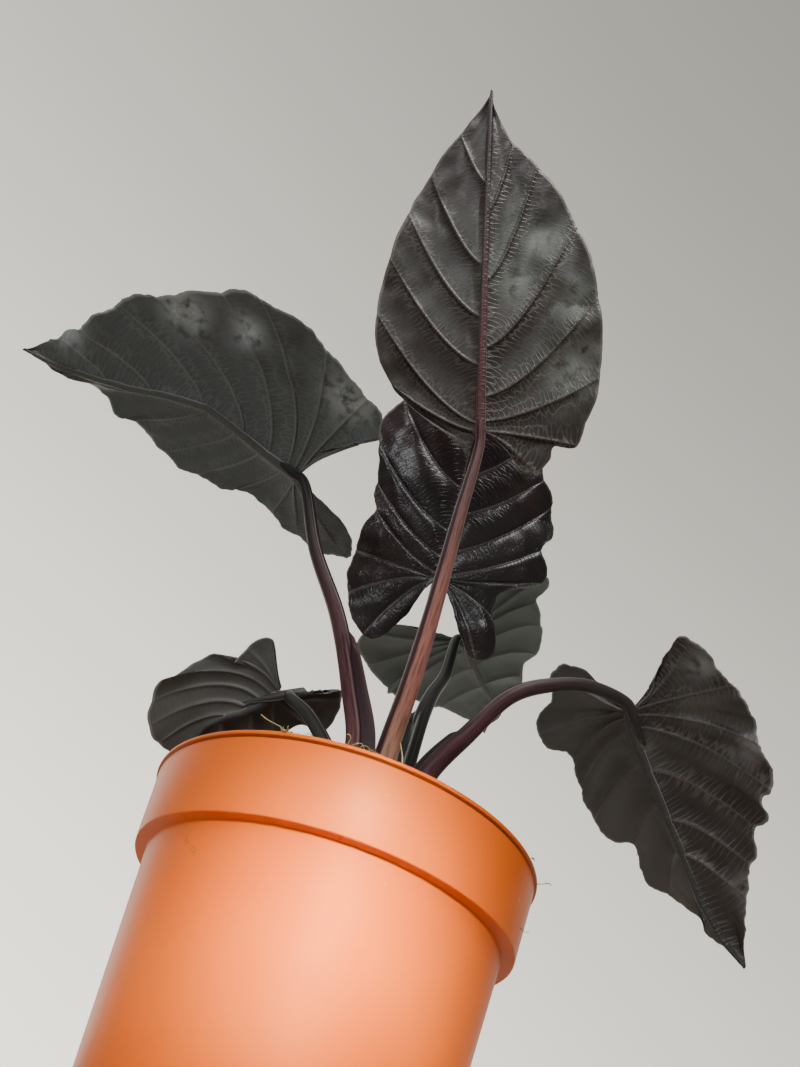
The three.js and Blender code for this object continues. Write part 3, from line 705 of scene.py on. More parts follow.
def bladeShape(leaf):
    halves = [halfOutline(leaf, leaf["left"]), halfOutline(leaf, leaf["right"])]
    ribX, ends = rowPlan(leaf, halves)
    count = leaf["columns"]
    u = (np.arange(count + 1) / count) ** blade["crowding"]
    parts = []
    for half, end, sign in zip(halves, ends, (-1, 1)):
        margin = np.column_stack([np.interp(end, half["share"], axis) for axis in half["points"].T])
        wander = np.interp(ribX, *np.array(leaf["wander"], float).T)
        x = ribX[:, None] + (margin[:, :1] - ribX[:, None]) * u ** blade["sweep"]
        reach = margin[:, 1:] * u
        across = wander[:, None] * (1 - u) + sign * reach
        panel = np.interp(end, [0, *half["ends"], 1], np.arange(len(half["ends"]) + 2))[:, None] + 0 * u
        spread = np.hypot(np.gradient(x, axis=0), np.gradient(across, axis=0))
        width = spread / np.maximum(np.gradient(panel, axis=0), 1e-4)
        nearest = np.rint(panel)
        vein = np.abs(panel - nearest) * width
        vein[(nearest < 1) | (nearest > len(half["ends"]))] = 99
        swell = (panel - np.floor(panel)) ** blade["pillowPeak"]
        bulge = np.abs(np.sin(np.pi * swell)) ** blade["pillowRound"]
        bulge = bulge * np.clip(width / blade["panelWidth"], *blade["pillowLimits"])
        bulge = bulge * smoothStep(u, 0.0, 0.2) * (1 - 0.75 * smoothStep(u, 0.75, 1))
        edgeShare = half["edgeShare"]
        cadRow = np.where(end < edgeShare, blade["cadRows"] * end / edgeShare,
                          blade["cadRows"] + blade["cadLobeRows"] * (end - edgeShare) / (1 - edgeShare))
        wave = np.sin(2 * np.pi * leaf["waves"] * cadRow[:, None] / blade["cadRows"] + sign * u) * u ** 3
        tipShare = np.clip(x / leaf["length"], 0, 1)
        thinner = blade["ribTipHalfWidth"] - blade["ribHalfWidth"]
        ribHalf = blade["ribHalfWidth"] + thinner * tipShare ** 0.7
        clear = smoothStep(reach / ribHalf, 0.7, 1.8)          # side veins sink where they meet the midrib
        groove = bell(vein, blade["grooveSpread"]) * blade["veinGroove"] * (1 - 0.6 * u) * clear
        lift = leaf["quilt"] * bulge + leaf["ruffle"] * wave - groove
        ribDeep = blade["ribDepth"] + (blade["ribTipDepth"] - blade["ribDepth"]) * tipShare ** 0.8
        ribDeep = ribDeep * (1 - 0.8 * smoothStep(tipShare, 0.93, 1))
        rib = ribDeep * np.sqrt(np.maximum(0, 1 - (reach / ribHalf) ** blade["ribCorner"]))
        ridge = blade["veinHeight"] * bell(vein, blade["veinSpread"]) * (1 - 0.8 * u) * clear
        thick = blade["lamina"] + (blade["marginLamina"] - blade["lamina"]) * smoothStep(u, 0.5, 1)
        parts.append({"x": x, "reach": reach, "across": across, "side": np.full_like(x, sign), "lift": lift,
                      "thick": thick + rib + ridge, "panel": panel, "vein": vein, "u": u + 0 * x,
                      "ribShare": reach / ribHalf})
    left, right = parts
    return {key: np.hstack([left[key][:, :0:-1], right[key]]) for key in left}, halves


def bladeRelief(leaf, at):
    # Gentle unevenness all over, stronger buckles towards the margin, and the dents of single leaves
    def swells(length, seed):
        return np.array([noise.noise((x / length, y / length, seed)) for x, y in zip(at["x"], at["across"])])

    slow, quick = swells(blade["slowLength"], leaf["length"]), swells(blade["quickLength"], leaf["fold"])
    lift = blade["unevenness"] * slow * smoothStep(at["u"], 0, 0.3)
    lift = lift + leaf["buckle"] * quick * smoothStep(at["u"], 0.35, 0.9)
    for x, y, radius, depth in leaf["dents"]:
        lift = lift + depth * bell(np.hypot(at["x"] - x, at["across"] - y), radius)
    return lift


def netMap(leaf, at, halves, corners, column, middle, panelBySide):
    # Small veins run as arcs round the axil of the side vein on the base side of their panel
    row = at["row"][corners]
    onRight = column[corners].mean(1) > middle
    flat = np.zeros((*corners.shape, 2))
    for half, chosen, panels in zip(halves, (~onRight, onRight), panelBySide):
        panel = panels[row[chosen]]
        index = np.clip(np.floor(panel.mean(1)), 0, len(half["ends"])).astype(int)
        axil = np.array([*half["ribs"], 0.0])[index]
        span = np.diff([0, *half["ends"], 1]) * half["length"] * 0.6
        x, reach = at["x"][corners][chosen], at["reach"][corners][chosen]
        flat[chosen, :, 0] = np.hypot(x - axil[:, None], reach) / blade["netStep"]
        flat[chosen, :, 1] = (panel - index[:, None]) * (span / leaf["netLength"])[index][:, None]
        flat[chosen, :, 1] += 7.3 * index[:, None] + 61 * onRight.any() * (half is halves[1])
    return flat


def bladeMesh(leaf):
    shape, halves = bladeShape(leaf)
    rows, columns = shape["x"].shape
    mesh, column, row = gridMesh(leaf["name"] + "Blade", columns - 1, rows - 1)
    row = rows - 1 - row
    at = {key: value[row, column] for key, value in shape.items()}
    at["row"] = row
    point, along, side, up = ribFrame(leaf, at["x"])
    angle = np.radians(leaf["fold"] - leaf["curl"] * at["reach"] / blade["curlReach"])
    wander = at["across"] - at["side"] * at["reach"]
    lift = at["lift"] + bladeRelief(leaf, at)
    sideways = wander + at["side"] * at["reach"] * np.cos(angle)
    point = point + side * sideways[:, None] + up * (at["reach"] * np.sin(angle) + lift)[:, None]
    setPlaces(mesh, point)
    for name in ("vein", "u", "ribShare", "thick"):
        setAttribute(mesh, name, at[name])
    setAttribute(mesh, "tipShare", np.clip(at["x"] / leaf["length"], 0, 1))
    inPanel = at["panel"] - np.floor(at["panel"] + 1e-6)
    # Painted shading in each panel between side veins: lighter on the tip side of each side vein, darker on
    # its base side, fading out at the midrib
    setAttribute(mesh, "paintedPanelShade", smoothStep(inPanel, 0.3, 0.7) * smoothStep(at["u"], 0, 0.15))
    # Glossy spots, where the under material lowers the roughness and paints a pale highlight
    shine = np.zeros_like(at["x"])
    for x, y, radius in leaf["shines"]:
        shine = np.maximum(shine, bell(np.hypot(at["x"] - x, at["across"] - y), radius))
    setAttribute(mesh, "shine", shine)
    onLeft = at["side"] < 0
    setAttribute(mesh, "netSides", np.where(onLeft, *leaf["netSides"]))
    # Grey sheen painted towards the margin of the chosen half
    setAttribute(mesh, "greySides", np.where(onLeft, *leaf["greySides"]) * smoothStep(at["u"], -0.3, 0.9))
    panels = (shape["panel"][:, 0], shape["panel"][:, -1])
    flat = netMap(leaf, at, halves, cornerPoints(mesh).reshape(-1, 4), column, (columns - 1) / 2, panels)
    mesh.uv_layers.new(name="netMap").data.foreach_set("uv", flat.ravel())
    weldMesh(mesh)
    return mesh


def netNodes(paint, look):
    # Lines of the small veins, fading away from the larger ones, and the finest net between them
    def cellEdges(vector, randomness):
        return paint.add("TexVoronoi", {"Vector": vector, "Scale": 1.0, "Randomness": randomness},
                         voronoi_dimensions="2D", feature="DISTANCE_TO_EDGE")[0]

    netMap = paint.add("UVMap", {}, uv_map="netMap")[0]
    drift = paint.add("TexNoise", {"Vector": netMap, "Scale": 0.9, "Detail": 2.0})
    bent = paint.vectors("ADD", netMap, drift["Color"])[0]
    coarse = cellEdges(bent, 0.6)
    fine = cellEdges(paint.stretch(bent, (1.3, 7, 1)), 0.8)
    near = paint.ramp(paint.read("vein"), 1.0, 9.0, 1.0, look["netFade"])
    nearRib = paint.ramp(paint.read("ribShare"), 2.0, 7.0, look["ribNet"], look["netFade"])
    near = paint.times(paint.compute("MAXIMUM", near, nearRib), paint.read("netSides"))
    line = paint.times(paint.ramp(coarse, 0.03, 0.16, 1.0, 0.0), near)
    web = paint.times(paint.ramp(fine, 0.0, 0.14, 1.0, 0.0), look["webShare"])
    return paint.compute("MAXIMUM", line, web)


def underMaterial(leaf, look):
    paint = startMaterial(leaf["name"] + "Under", look["roughness"], look["specular"],
                          **{"Sheen Weight": look["sheen"], "Sheen Roughness": 0.4})
    place = paint.place()
    ribShare, tipShare, shiny = (paint.read(name) for name in ("ribShare", "tipShare", "shine"))
    netLine = netNodes(paint, look)
    # A silvery tone, partly the leaf's own and partly painted sheen, in clouds and greying towards the
    # margin on the chosen half, and painted shading in the panels between the side veins; all thinner at the
    # foot and the tip
    clouds = paint.ramp(paint.noiseAt(place, 26, 2), 0.42, 0.66)
    clouds = paint.compute("MAXIMUM", clouds, paint.read("greySides"))
    panelShadeMask = paint.times(paint.read("paintedPanelShade"), look["panelShadeShare"])
    silverAndSheen = paint.plus(paint.times(clouds, 1 - look["panelShadeShare"]), panelShadeMask)
    silverAndSheen = paint.times(silverAndSheen, look["silverAndSheen"])
    silverAndSheen = paint.times(silverAndSheen, paint.ramp(tipShare, 0.45, 0.9, 1.0, look["silverSheenTip"]))
    silverAndSheen = paint.times(silverAndSheen, paint.ramp(tipShare, -0.05, 0.4, look["silverSheenFoot"], 1.0))
    color = paint.mix(silverAndSheen, look["color"], look["silverSheenColor"])
    # Glossy crinkled spots: lower roughness, with a pale highlight painted into the colour
    wrinkles = paint.noiseAt(place, 190, 3)
    shine = paint.times(shiny, paint.ramp(wrinkles, 0.3, 0.55))
    color = paint.mix(shine, color, look["paintedShineColor"])
    gloss = paint.times(shine, look["roughness"] - look["shineRoughness"])
    paint.set("Roughness", paint.compute("SUBTRACT", look["roughness"], gloss))
    # Small veins, side veins, margin and midrib over it
    color = paint.mix(paint.times(netLine, look["netShade"]), color, look["netColor"])
    vein = paint.ramp(paint.read("vein"), 0.1, 0.45, 1.0, 0.0)
    color = paint.mix(paint.times(vein, look["veinShade"]), color, look["veinColor"])
    margin = paint.ramp(paint.read("u"), 0.975, 0.995, 0.0, look["marginShade"])
    color = paint.mix(margin, color, look["edgeColor"])
    ribColor = paint.mix(paint.ramp(tipShare, 0.25, 0.75), look["ribColor"], look["ribTipColor"])
    color = paint.mix(paint.ramp(ribShare, 0.8, 1.0, 1.0, 0.0), color, ribColor)
    ribEdge = paint.times(paint.ramp(ribShare, 0.8, 0.95),
                          paint.ramp(ribShare, 1.0, 1.2, look["ribEdgeShade"], 0.0))
    ribEdge = paint.times(ribEdge, paint.ramp(tipShare, 0.3, 0.8, 1.0, 0.3))
    paint.set("Base Color", paint.mix(ribEdge, color, look["edgeColor"]))
    height = paint.plus(paint.times(netLine, look["netHeight"]),
                        paint.times(paint.noiseAt(place, 1400, 2), look["grainHeight"]))
    crinkled = paint.times(wrinkles, paint.times(shiny, look["crinkle"]))
    paint.bump(paint.plus(height, crinkled), mm)
    return paint.owner


def upperMaterial(leaf, look):
    paint = startMaterial(leaf["name"] + "Upper", look["roughness"], look["specular"])
    place = paint.place()
    netLine = netNodes(paint, look)
    color = paint.mix(paint.ramp(paint.noiseAt(place, 30, 3), 0.35, 0.7), look["color"], look["otherColor"])
    vein = paint.ramp(paint.read("vein"), 0.3, 0.75, look["veinShade"], 0.0)
    ribLine = paint.ramp(paint.read("ribShare"), 0.25, 0.5, look["veinShade"], 0.0)
    color = paint.mix(paint.compute("MAXIMUM", vein, ribLine), color, look["veinColor"])
    margin = paint.ramp(paint.read("u"), 0.98, 0.995, 0.0, look["marginShade"])
    paint.set("Base Color", paint.mix(margin, color, look["edgeColor"]))
    height = paint.compute("SUBTRACT", paint.times(paint.noiseAt(place, 1400, 2), look["grainHeight"]),
                           paint.times(netLine, look["netHeight"]))
    paint.bump(height, mm)
    return paint.owner


# Colours and finishes of the under sides. Heights are millimetres. Each leaf differs from plainUnder. The
# under sides share one finish, and much of the difference between leaves in colour, silver and sheen is
# painted light and shade, set for how brightly each leaf is lit.
plainUnder = {
    "color": rgb(0.043, 0.0505, 0.0525), "silverAndSheen": 0.35, "silverSheenColor": rgb(0.088, 0.102, 0.105),
    "silverSheenTip": 1.0, "silverSheenFoot": 1.0, "panelShadeShare": 0.4, "netShade": 0.12, "netColor": rgb(0.1, 0.1, 0.1),
    "netHeight": 0.03, "netFade": 0.4, "ribNet": 1.0, "webShare": 0.25, "grainHeight": 0.02,
    "veinColor": rgb(0.14, 0.15, 0.145), "veinShade": 0.5, "edgeColor": rgb(0.29, 0.3, 0.29),
    "marginShade": 0.6,
    "ribColor": rgb(0.05, 0.05, 0.05), "ribTipColor": rgb(0.045, 0.045, 0.045), "ribEdgeShade": 0.8,
    "roughness": 0.45, "specular": 0.5, "sheen": 0.02, "paintedShineColor": rgb(0.2, 0.22, 0.23),
    "shineRoughness": 0.3, "crinkle": 0.35,
}
underLooks = {
    "leaf_1": {
        "color": rgb(0.0215, 0.011, 0.0105), "silverAndSheen": 0.95, "silverSheenColor": rgb(0.062, 0.067, 0.06),
        "silverSheenFoot": 0.3, "silverSheenTip": 0.45, "panelShadeShare": 0.5, "netColor": rgb(0.2, 0.185, 0.17),
        "netShade": 0.42, "netHeight": 0.13, "netFade": 0.22, "webShare": 0.1,
        "veinColor": rgb(0.07, 0.05, 0.05),
        "veinShade": 0.6, "ribColor": rgb(0.088, 0.033, 0.037), "ribTipColor": rgb(0.04, 0.025, 0.029),
        "edgeColor": rgb(0.209, 0.171, 0.167), "roughness": 0.42, "specular": 0.42,
        "paintedShineColor": rgb(0.15, 0.16, 0.145), "shineRoughness": 0.36, "crinkle": 0.1,
    },
    "leaf_2": {
        "netShade": 0.3, "netColor": rgb(0.15, 0.155, 0.15), "netHeight": 0.08, "netFade": 0.35,
        "paintedShineColor": rgb(0.32, 0.36, 0.375), "shineRoughness": 0.25, "crinkle": 0.3,
    },
    "leaf_3": {},
    # Much paler than the others: painted light, for this leaf lies in shade
    "leaf_4": {
        "color": rgb(0.145, 0.165, 0.165), "silverSheenColor": rgb(0.29, 0.315, 0.31), "netHeight": 0.02,
        "veinShade": 0.3, "ribColor": rgb(0.1, 0.11, 0.1), "ribTipColor": rgb(0.12, 0.13, 0.12),
        "ribEdgeShade": 0.95, "edgeColor": rgb(0.45, 0.47, 0.44), "roughness": 0.6, "specular": 0.35,
    },
    "leaf_5": {
        "color": rgb(0.03, 0.0255, 0.0245), "silverAndSheen": 0.6, "silverSheenColor": rgb(0.135, 0.138, 0.133),
        "panelShadeShare": 0.2, "netColor": rgb(0.16, 0.14, 0.13), "netShade": 0.5, "netHeight": 0.17,
        "netFade": 0.12, "webShare": 0.1, "veinColor": rgb(0.12, 0.1, 0.1), "specular": 0.35,
    },
    "leaf_6": {
        "color": rgb(0.0534, 0.0519, 0.0488), "silverSheenColor": rgb(0.119, 0.116, 0.108), "netHeight": 0.02,
        "veinColor": rgb(0.09, 0.088, 0.083), "roughness": 0.55,
    },
}
upperLook = {
    "color": rgb(0.012, 0.0095, 0.0105), "otherColor": rgb(0.027, 0.013, 0.0145), "netHeight": 0.085,
    "netFade": 0.6, "ribNet": 0.3, "webShare": 0.1, "grainHeight": 0.01,
    "veinColor": rgb(0.075, 0.06, 0.064), "veinShade": 0.7, "edgeColor": rgb(0.12, 0.12, 0.12),
    "marginShade": 0.5, "roughness": 0.31, "specular": 0.38,
}


def makeBlade(leaf):
    mesh = bladeMesh(leaf)
    under = {**plainUnder, **underLooks[leaf["name"]]}
    materials = [upperMaterial(leaf, upperLook), underMaterial(leaf, under)]
    piece = addPiece(leaf["name"] + "_leaf", mesh, materials, [leaf["name"] + "_blade"])
    group = piece.vertex_groups.new(name="thick")
    thick = np.zeros(len(mesh.vertices))
    mesh.attributes["thick"].data.foreach_get("value", thick)
    for index, value in enumerate(thick / blade["maxThickness"]):
        group.add([index], float(value), "REPLACE")
    solid = piece.modifiers.new("bladeThickness", "SOLIDIFY")
    solid.thickness = blade["maxThickness"] * mm
    solid.offset = -1
    solid.vertex_group = "thick"
    solid.material_offset = 1
    solid.material_offset_rim = 1


# Stalks

# The dark stripe of a stalk, painted shade down one side, and its pale lines, low ridges with painted sheen
# along them, stand at angles round it: 0 to the right, 270 to the front
stalkLooks = {
    "leaf_1": {
        "foot": rgb(0.418, 0.277, 0.132), "middle": rgb(0.34, 0.136, 0.106),
        "top": rgb(0.1225, 0.063, 0.0595), "stripe": rgb(0.0385, 0.01575, 0.02275), "stripeAt": 217,
        "stripeWidth": (0.88, 0.97), "line": rgb(0.28, 0.245, 0.2275), "lineAt": 265, "lineSpread": 1.38,
        "lineFrom": 0.12,
    },
    "leaf_2": {
        "foot": rgb(0.314, 0.132, 0.126), "middle": rgb(0.11, 0.0423, 0.051),
        "top": rgb(0.0105, 0.00919, 0.00984), "stripe": rgb(0.021, 0.00875, 0.01225), "stripeAt": 330,
        "stripeWidth": (0.8, 1.0), "line": rgb(0.2275, 0.21, 0.21), "lineAt": 238, "lineSpread": 1.25,
        "lineFrom": 0.5,
    },
    "leaf_3": {
        "foot": rgb(0.0525, 0.028, 0.028), "middle": rgb(0.035, 0.021, 0.02275),
        "top": rgb(0.0245, 0.021, 0.02275), "stripe": rgb(0.021, 0.0105, 0.014), "stripeAt": 200,
        "stripeWidth": (0.8, 1.0), "line": rgb(0.14, 0.14, 0.14), "lineAt": 270, "lineSpread": 1.25,
        "lineFrom": 0.5,
    },
    "leaf_4": {
        "foot": rgb(0.014, 0.0105, 0.01137), "middle": rgb(0.01225, 0.0119, 0.01137),
        "top": rgb(0.02, 0.0215, 0.0185), "stripe": rgb(0.00875, 0.007, 0.007), "stripeAt": 212,
        "stripeWidth": (0.75, 1.0), "line": rgb(0.42, 0.4375, 0.4025), "lineAt": 272, "lineSpread": 1.22,
        "lineFrom": 0.4,
    },
    "leaf_5": {
        "foot": rgb(0.109, 0.0437, 0.0455), "middle": rgb(0.0728, 0.0252, 0.0308),
        "top": rgb(0.035, 0.028, 0.028), "stripe": rgb(0.01575, 0.0105, 0.0105), "stripeAt": 190,
        "stripeWidth": (0.6, 1.0), "line": rgb(0.14, 0.1313, 0.1225), "lineAt": 300, "lineSpread": 1.3,
        "lineFrom": 0.45,
    },
    "leaf_6": {
        "foot": rgb(0.028, 0.0245, 0.02363), "middle": rgb(0.035, 0.03238, 0.03063),
        "top": rgb(0.0455, 0.04462, 0.042), "stripe": rgb(0.01575, 0.014, 0.014), "stripeAt": 300,
        "stripeWidth": (0.7, 1.0), "line": rgb(0.28, 0.28, 0.2625), "lineAt": 235, "lineSpread": 1.2,
        "lineFrom": 0.1,
    },
}
# underRun is the way of the stalk's end under the midrib: how far along it and how far below
stalk = {
    "sides": 64, "step": 1.3, "setBelow": 1.2, "ridge": 0.2, "ridgeSpread": 0.1, "flat": 0.1,
    "underRun": [(2, 1.05), (8, 0.6), (15, 0.4)], "endRun": 16, "endTaper": 0.72, "wingWidth": 0.24,
    "grooveWidth": 0.42, "channelDepth": 0.35, "wingLine": 0.09, "roughness": 0.5, "specular": 0.28,
}


def stalkMaterial(leaf, look):
    paint = startMaterial(leaf["name"] + "Skin", stalk["roughness"], stalk["specular"])
    climb = paint.read("climb")
    grain = paint.noiseAt(paint.stretch(paint.add("UVMap", {}, uv_map="barkMap")[0], (26, 0.9, 1)), 1.0, 3)
    color = paint.mix(paint.ramp(climb, 0.05, 0.45), look["foot"], look["middle"])
    color = paint.mix(paint.ramp(climb, 0.45, 0.95), color, look["top"])
    color = paint.mix(paint.ramp(grain, 0.42, 0.68, 0.0, 0.6), color, look["stripe"])
    # A dark stripe painted as shade down one side
    color = paint.mix(paint.ramp(paint.read("stripe"), *look["stripeWidth"]), color, look["stripe"])
    # Pale lines: painted sheen along the low ridges, and the pale edges of the sheath wings
    paint.set("Base Color", paint.mix(paint.times(paint.read("line"), 0.85), color, look["line"]))
    paint.bump(paint.plus(paint.times(grain, 0.8), paint.noiseAt(paint.place(), 700, 2)), 0.0001, 0.7)
    return paint.owner


def makeStalk(leaf):
    sheath = leaf["sheath"]
    spread = math.radians(sheath["spread"])
    point, along, _, up = (value[0] for value in ribFrame(leaf, np.zeros(1)))
    end = point - along * leaf["setBack"] - up * stalk["setBelow"]
    way = [*leaf["stalk"], end, *(point + along * run - up * below for run, below in stalk["underRun"])]
    length = smoothCurve(way, 400)[1]
    path = smoothCurve(way, round(length / stalk["step"]) + 1)[0]
    stop = 1 - stalk["endRun"] / length       # the junction, as a share of the path
    look = stalkLooks[leaf["name"]]

    def awayFrom(angle, degrees):
        turn = angle - math.radians(degrees)
        return np.arctan2(np.sin(turn), np.cos(turn))

    def lineShare(t, angle):
        offLine = np.abs(awayFrom(angle, look["lineAt"])) - look["lineSpread"]
        return bell(offLine, stalk["ridgeSpread"]) * smoothStep(t, look["lineFrom"], look["lineFrom"] + 0.12)

    def radiusAt(share, angle):
        t = np.clip(share / stop, 0, 1)
        slim = (1 - t) ** leaf["taper"]
        radius = leaf["topRadius"] + (leaf["footRadius"] - leaf["topRadius"]) * slim
        radius = radius * (1 - stalk["endTaper"] * smoothStep(share, stop, 1))
        facing = np.cos(awayFrom(angle, look["lineAt"])).clip(0) ** 2 * smoothStep(t, look["lineFrom"], 0.8)
        radius = radius * (1 - stalk["flat"] * facing)
        turn = awayFrom(angle, sheath["groove"])
        top = sheath["height"] * (1 + 0.03 * np.sin(3 * angle) + 0.02 * np.sin(11 * angle))
        rise = np.sqrt(np.clip(1 - t / top, 0, 1))
        rise = rise * (1 - sheath["abrupt"]) + sheath["abrupt"] * smoothStep(top - t, 0, 0.02)
        wings = bell(np.abs(turn) - spread, stalk["wingWidth"]) * np.where(turn < 0, sheath["front"], 1)
        groove = bell(turn, stalk["grooveWidth"])
        channel = groove * stalk["channelDepth"] * smoothStep(t, sheath["height"], sheath["height"] + 0.2)
        return radius + rise * (sheath["reach"] * wings - sheath["dig"] * groove) - channel \
            + stalk["ridge"] * lineShare(t, angle)

    mesh, share, angle = tubeMesh(leaf["name"] + "Stalk", path, radiusAt, stalk["sides"])
    climb = np.clip(share / stop, 0, 1)
    setAttribute(mesh, "climb", climb)
    # Where the painted shade stripe lies
    setAttribute(mesh, "stripe", np.cos(awayFrom(angle, look["stripeAt"])))
    # Pale lines: painted sheen on the low ridges along the sides, and the pale edge of the sheath wings
    inWings = 1 - smoothStep(climb, sheath["height"] - 0.04, sheath["height"])
    wingEdge = bell(np.abs(awayFrom(angle, sheath["groove"])) - spread, stalk["wingLine"])
    setAttribute(mesh, "line", np.maximum(lineShare(climb, angle), 0.35 * wingEdge * inWings))
    corners = cornerPoints(mesh)
    uv = np.column_stack([angle[corners] / (2 * math.pi), share[corners] * length / 10])
    mesh.uv_layers.new(name="barkMap").data.foreach_set("uv", uv.ravel())
    weldMesh(mesh)
    material = stalkMaterial(leaf, look)
    addPiece(leaf["name"] + "_petiole", mesh, [material], [leaf["name"] + "_stalk"])


for leaf in leaves:
    makeBlade(leaf)
    makeStalk(leaf)
    print(leaf["name"], "made")


# Soil and the buried stem

soil = {
    "top": 112, "edgeDrop": 1, "gap": 0.3, "bumpHeight": 0.9, "coarse": 0.29, "fine": 0.67, "fineShare": 0.6,
    "moundHeight": 4, "moundSpread": 22, "crown": (5, -13), "rings": 56, "segments": 150, "crumb": 1.3,
    "crumbLength": 3.5, "crumbFreeEdge": 5,
    "color": rgb(0.035, 0.022, 0.014), "otherColor": rgb(0.085, 0.055, 0.035),
}
rhizome = {"radius": 17, "top": 100.7, "length": 34, "segments": 96, "color": rgb(0.15, 0.085, 0.045),
           "scarColor": rgb(0.06, 0.035, 0.02), "steps": 40, "footShare": 0.5, "waist": 0.06, "swellings": 6}


def soilHeight(x, y):
    bumps = (np.sin(soil["coarse"] * x + 1) * np.cos(soil["coarse"] * y)
             + soil["fineShare"] * np.sin(soil["fine"] * (x + y)))
    distance = np.hypot(x - soil["crown"][0], y - soil["crown"][1])
    mound = soil["moundHeight"] * bell(distance, soil["moundSpread"])
    return soil["top"] + soil["bumpHeight"] * bumps + mound


def soilMaterial():
    paint = startMaterial("pottingMix", 0.95, 0.25)
    place = paint.place()
    coarse = paint.noiseAt(place, 260, 5, 0.7)
    flecks = paint.add("TexVoronoi", {"Vector": place, "Scale": 520.0})["Distance"]
    paint.set("Base Color", paint.mix(paint.ramp(coarse, 0.38, 0.68), soil["color"], soil["otherColor"]))
    paint.bump(paint.plus(coarse, flecks), 0.0012)
    return paint.owner


def makeSoil():
    inside = pot["wall"] + soil["gap"]
    ledge = bandFoot + pot["wall"] + soil["gap"]
    bottom = pot["floor"] + soil["gap"]
    edgeHeight = soil["top"] - soil["edgeDrop"]
    topRadius = bandRadius(edgeHeight) - inside
    profile = [(0, bottom), (bodyRadius(bottom) - inside, bottom), (pot["bodyTopRadius"] - inside, ledge),
               (bandRadius(ledge) - inside, ledge), (topRadius, edgeHeight)]
    profile += [(topRadius * ring / soil["rings"], soil["top"]) for ring in range(soil["rings"] - 1, -1, -1)]
    mesh = turnedMesh("soilHeap", profile, soil["segments"])
    places = np.zeros(len(mesh.vertices) * 3)
    mesh.vertices.foreach_get("co", places)
    places = places.reshape(-1, 3) / mm
    top = places[:, 2] > edgeHeight + 0.1
    x, y = places[top, 0], places[top, 1]
    length = soil["crumbLength"]
    crumbs = np.array([noise.fractal((a / length, b / length, 3), 0.9, 2, 4) for a, b in zip(x, y)])
    fade = 1 - smoothStep(np.hypot(x, y), topRadius - soil["crumbFreeEdge"], topRadius)
    places[top, 2] = soilHeight(x, y) + crumbs * soil["crumb"] * fade
    setPlaces(mesh, places)
    addPiece("soilHeap", mesh, [soilMaterial()], ["soil"])


def makeRhizome():
    paint = startMaterial("stemBark", 0.8)
    rings = paint.add("TexWave", {"Vector": paint.place(), "Scale": 60.0, "Distortion": 3.0, "Detail": 3.0},
                      bands_direction="Z")["Fac"]
    paint.set("Base Color", paint.mix(rings, rhizome["color"], rhizome["scarColor"]))
    paint.bump(rings, 0.0006, 0.8)
    foot = rhizome["top"] - rhizome["length"]
    profile = [(0, foot)]
    for step in range(1, rhizome["steps"]):
        share = step / rhizome["steps"]
        widening = rhizome["footShare"] + (1 - rhizome["footShare"]) * share ** 0.6
        ringed = 1 - rhizome["waist"] * abs(math.sin(share * rhizome["swellings"] * math.pi))
        radius = min(rhizome["radius"] * widening * ringed, rhizome["radius"] - 1.5 * (share > 0.96))
        profile.append((radius, foot + share * rhizome["length"]))
    profile += [(rhizome["radius"] - 2.5, rhizome["top"]), (0, rhizome["top"])]
    mesh = turnedMesh("crownStem", profile, rhizome["segments"])
    mesh.transform(Matrix.Translation(Vector((*soil["crown"], 0)) * mm))
    addPiece("crownStem", mesh, [paint.owner], ["rhizome"])


makeSoil()
makeRhizome()
print("soil and buried stem made")


# Small things on the rim and on the soil

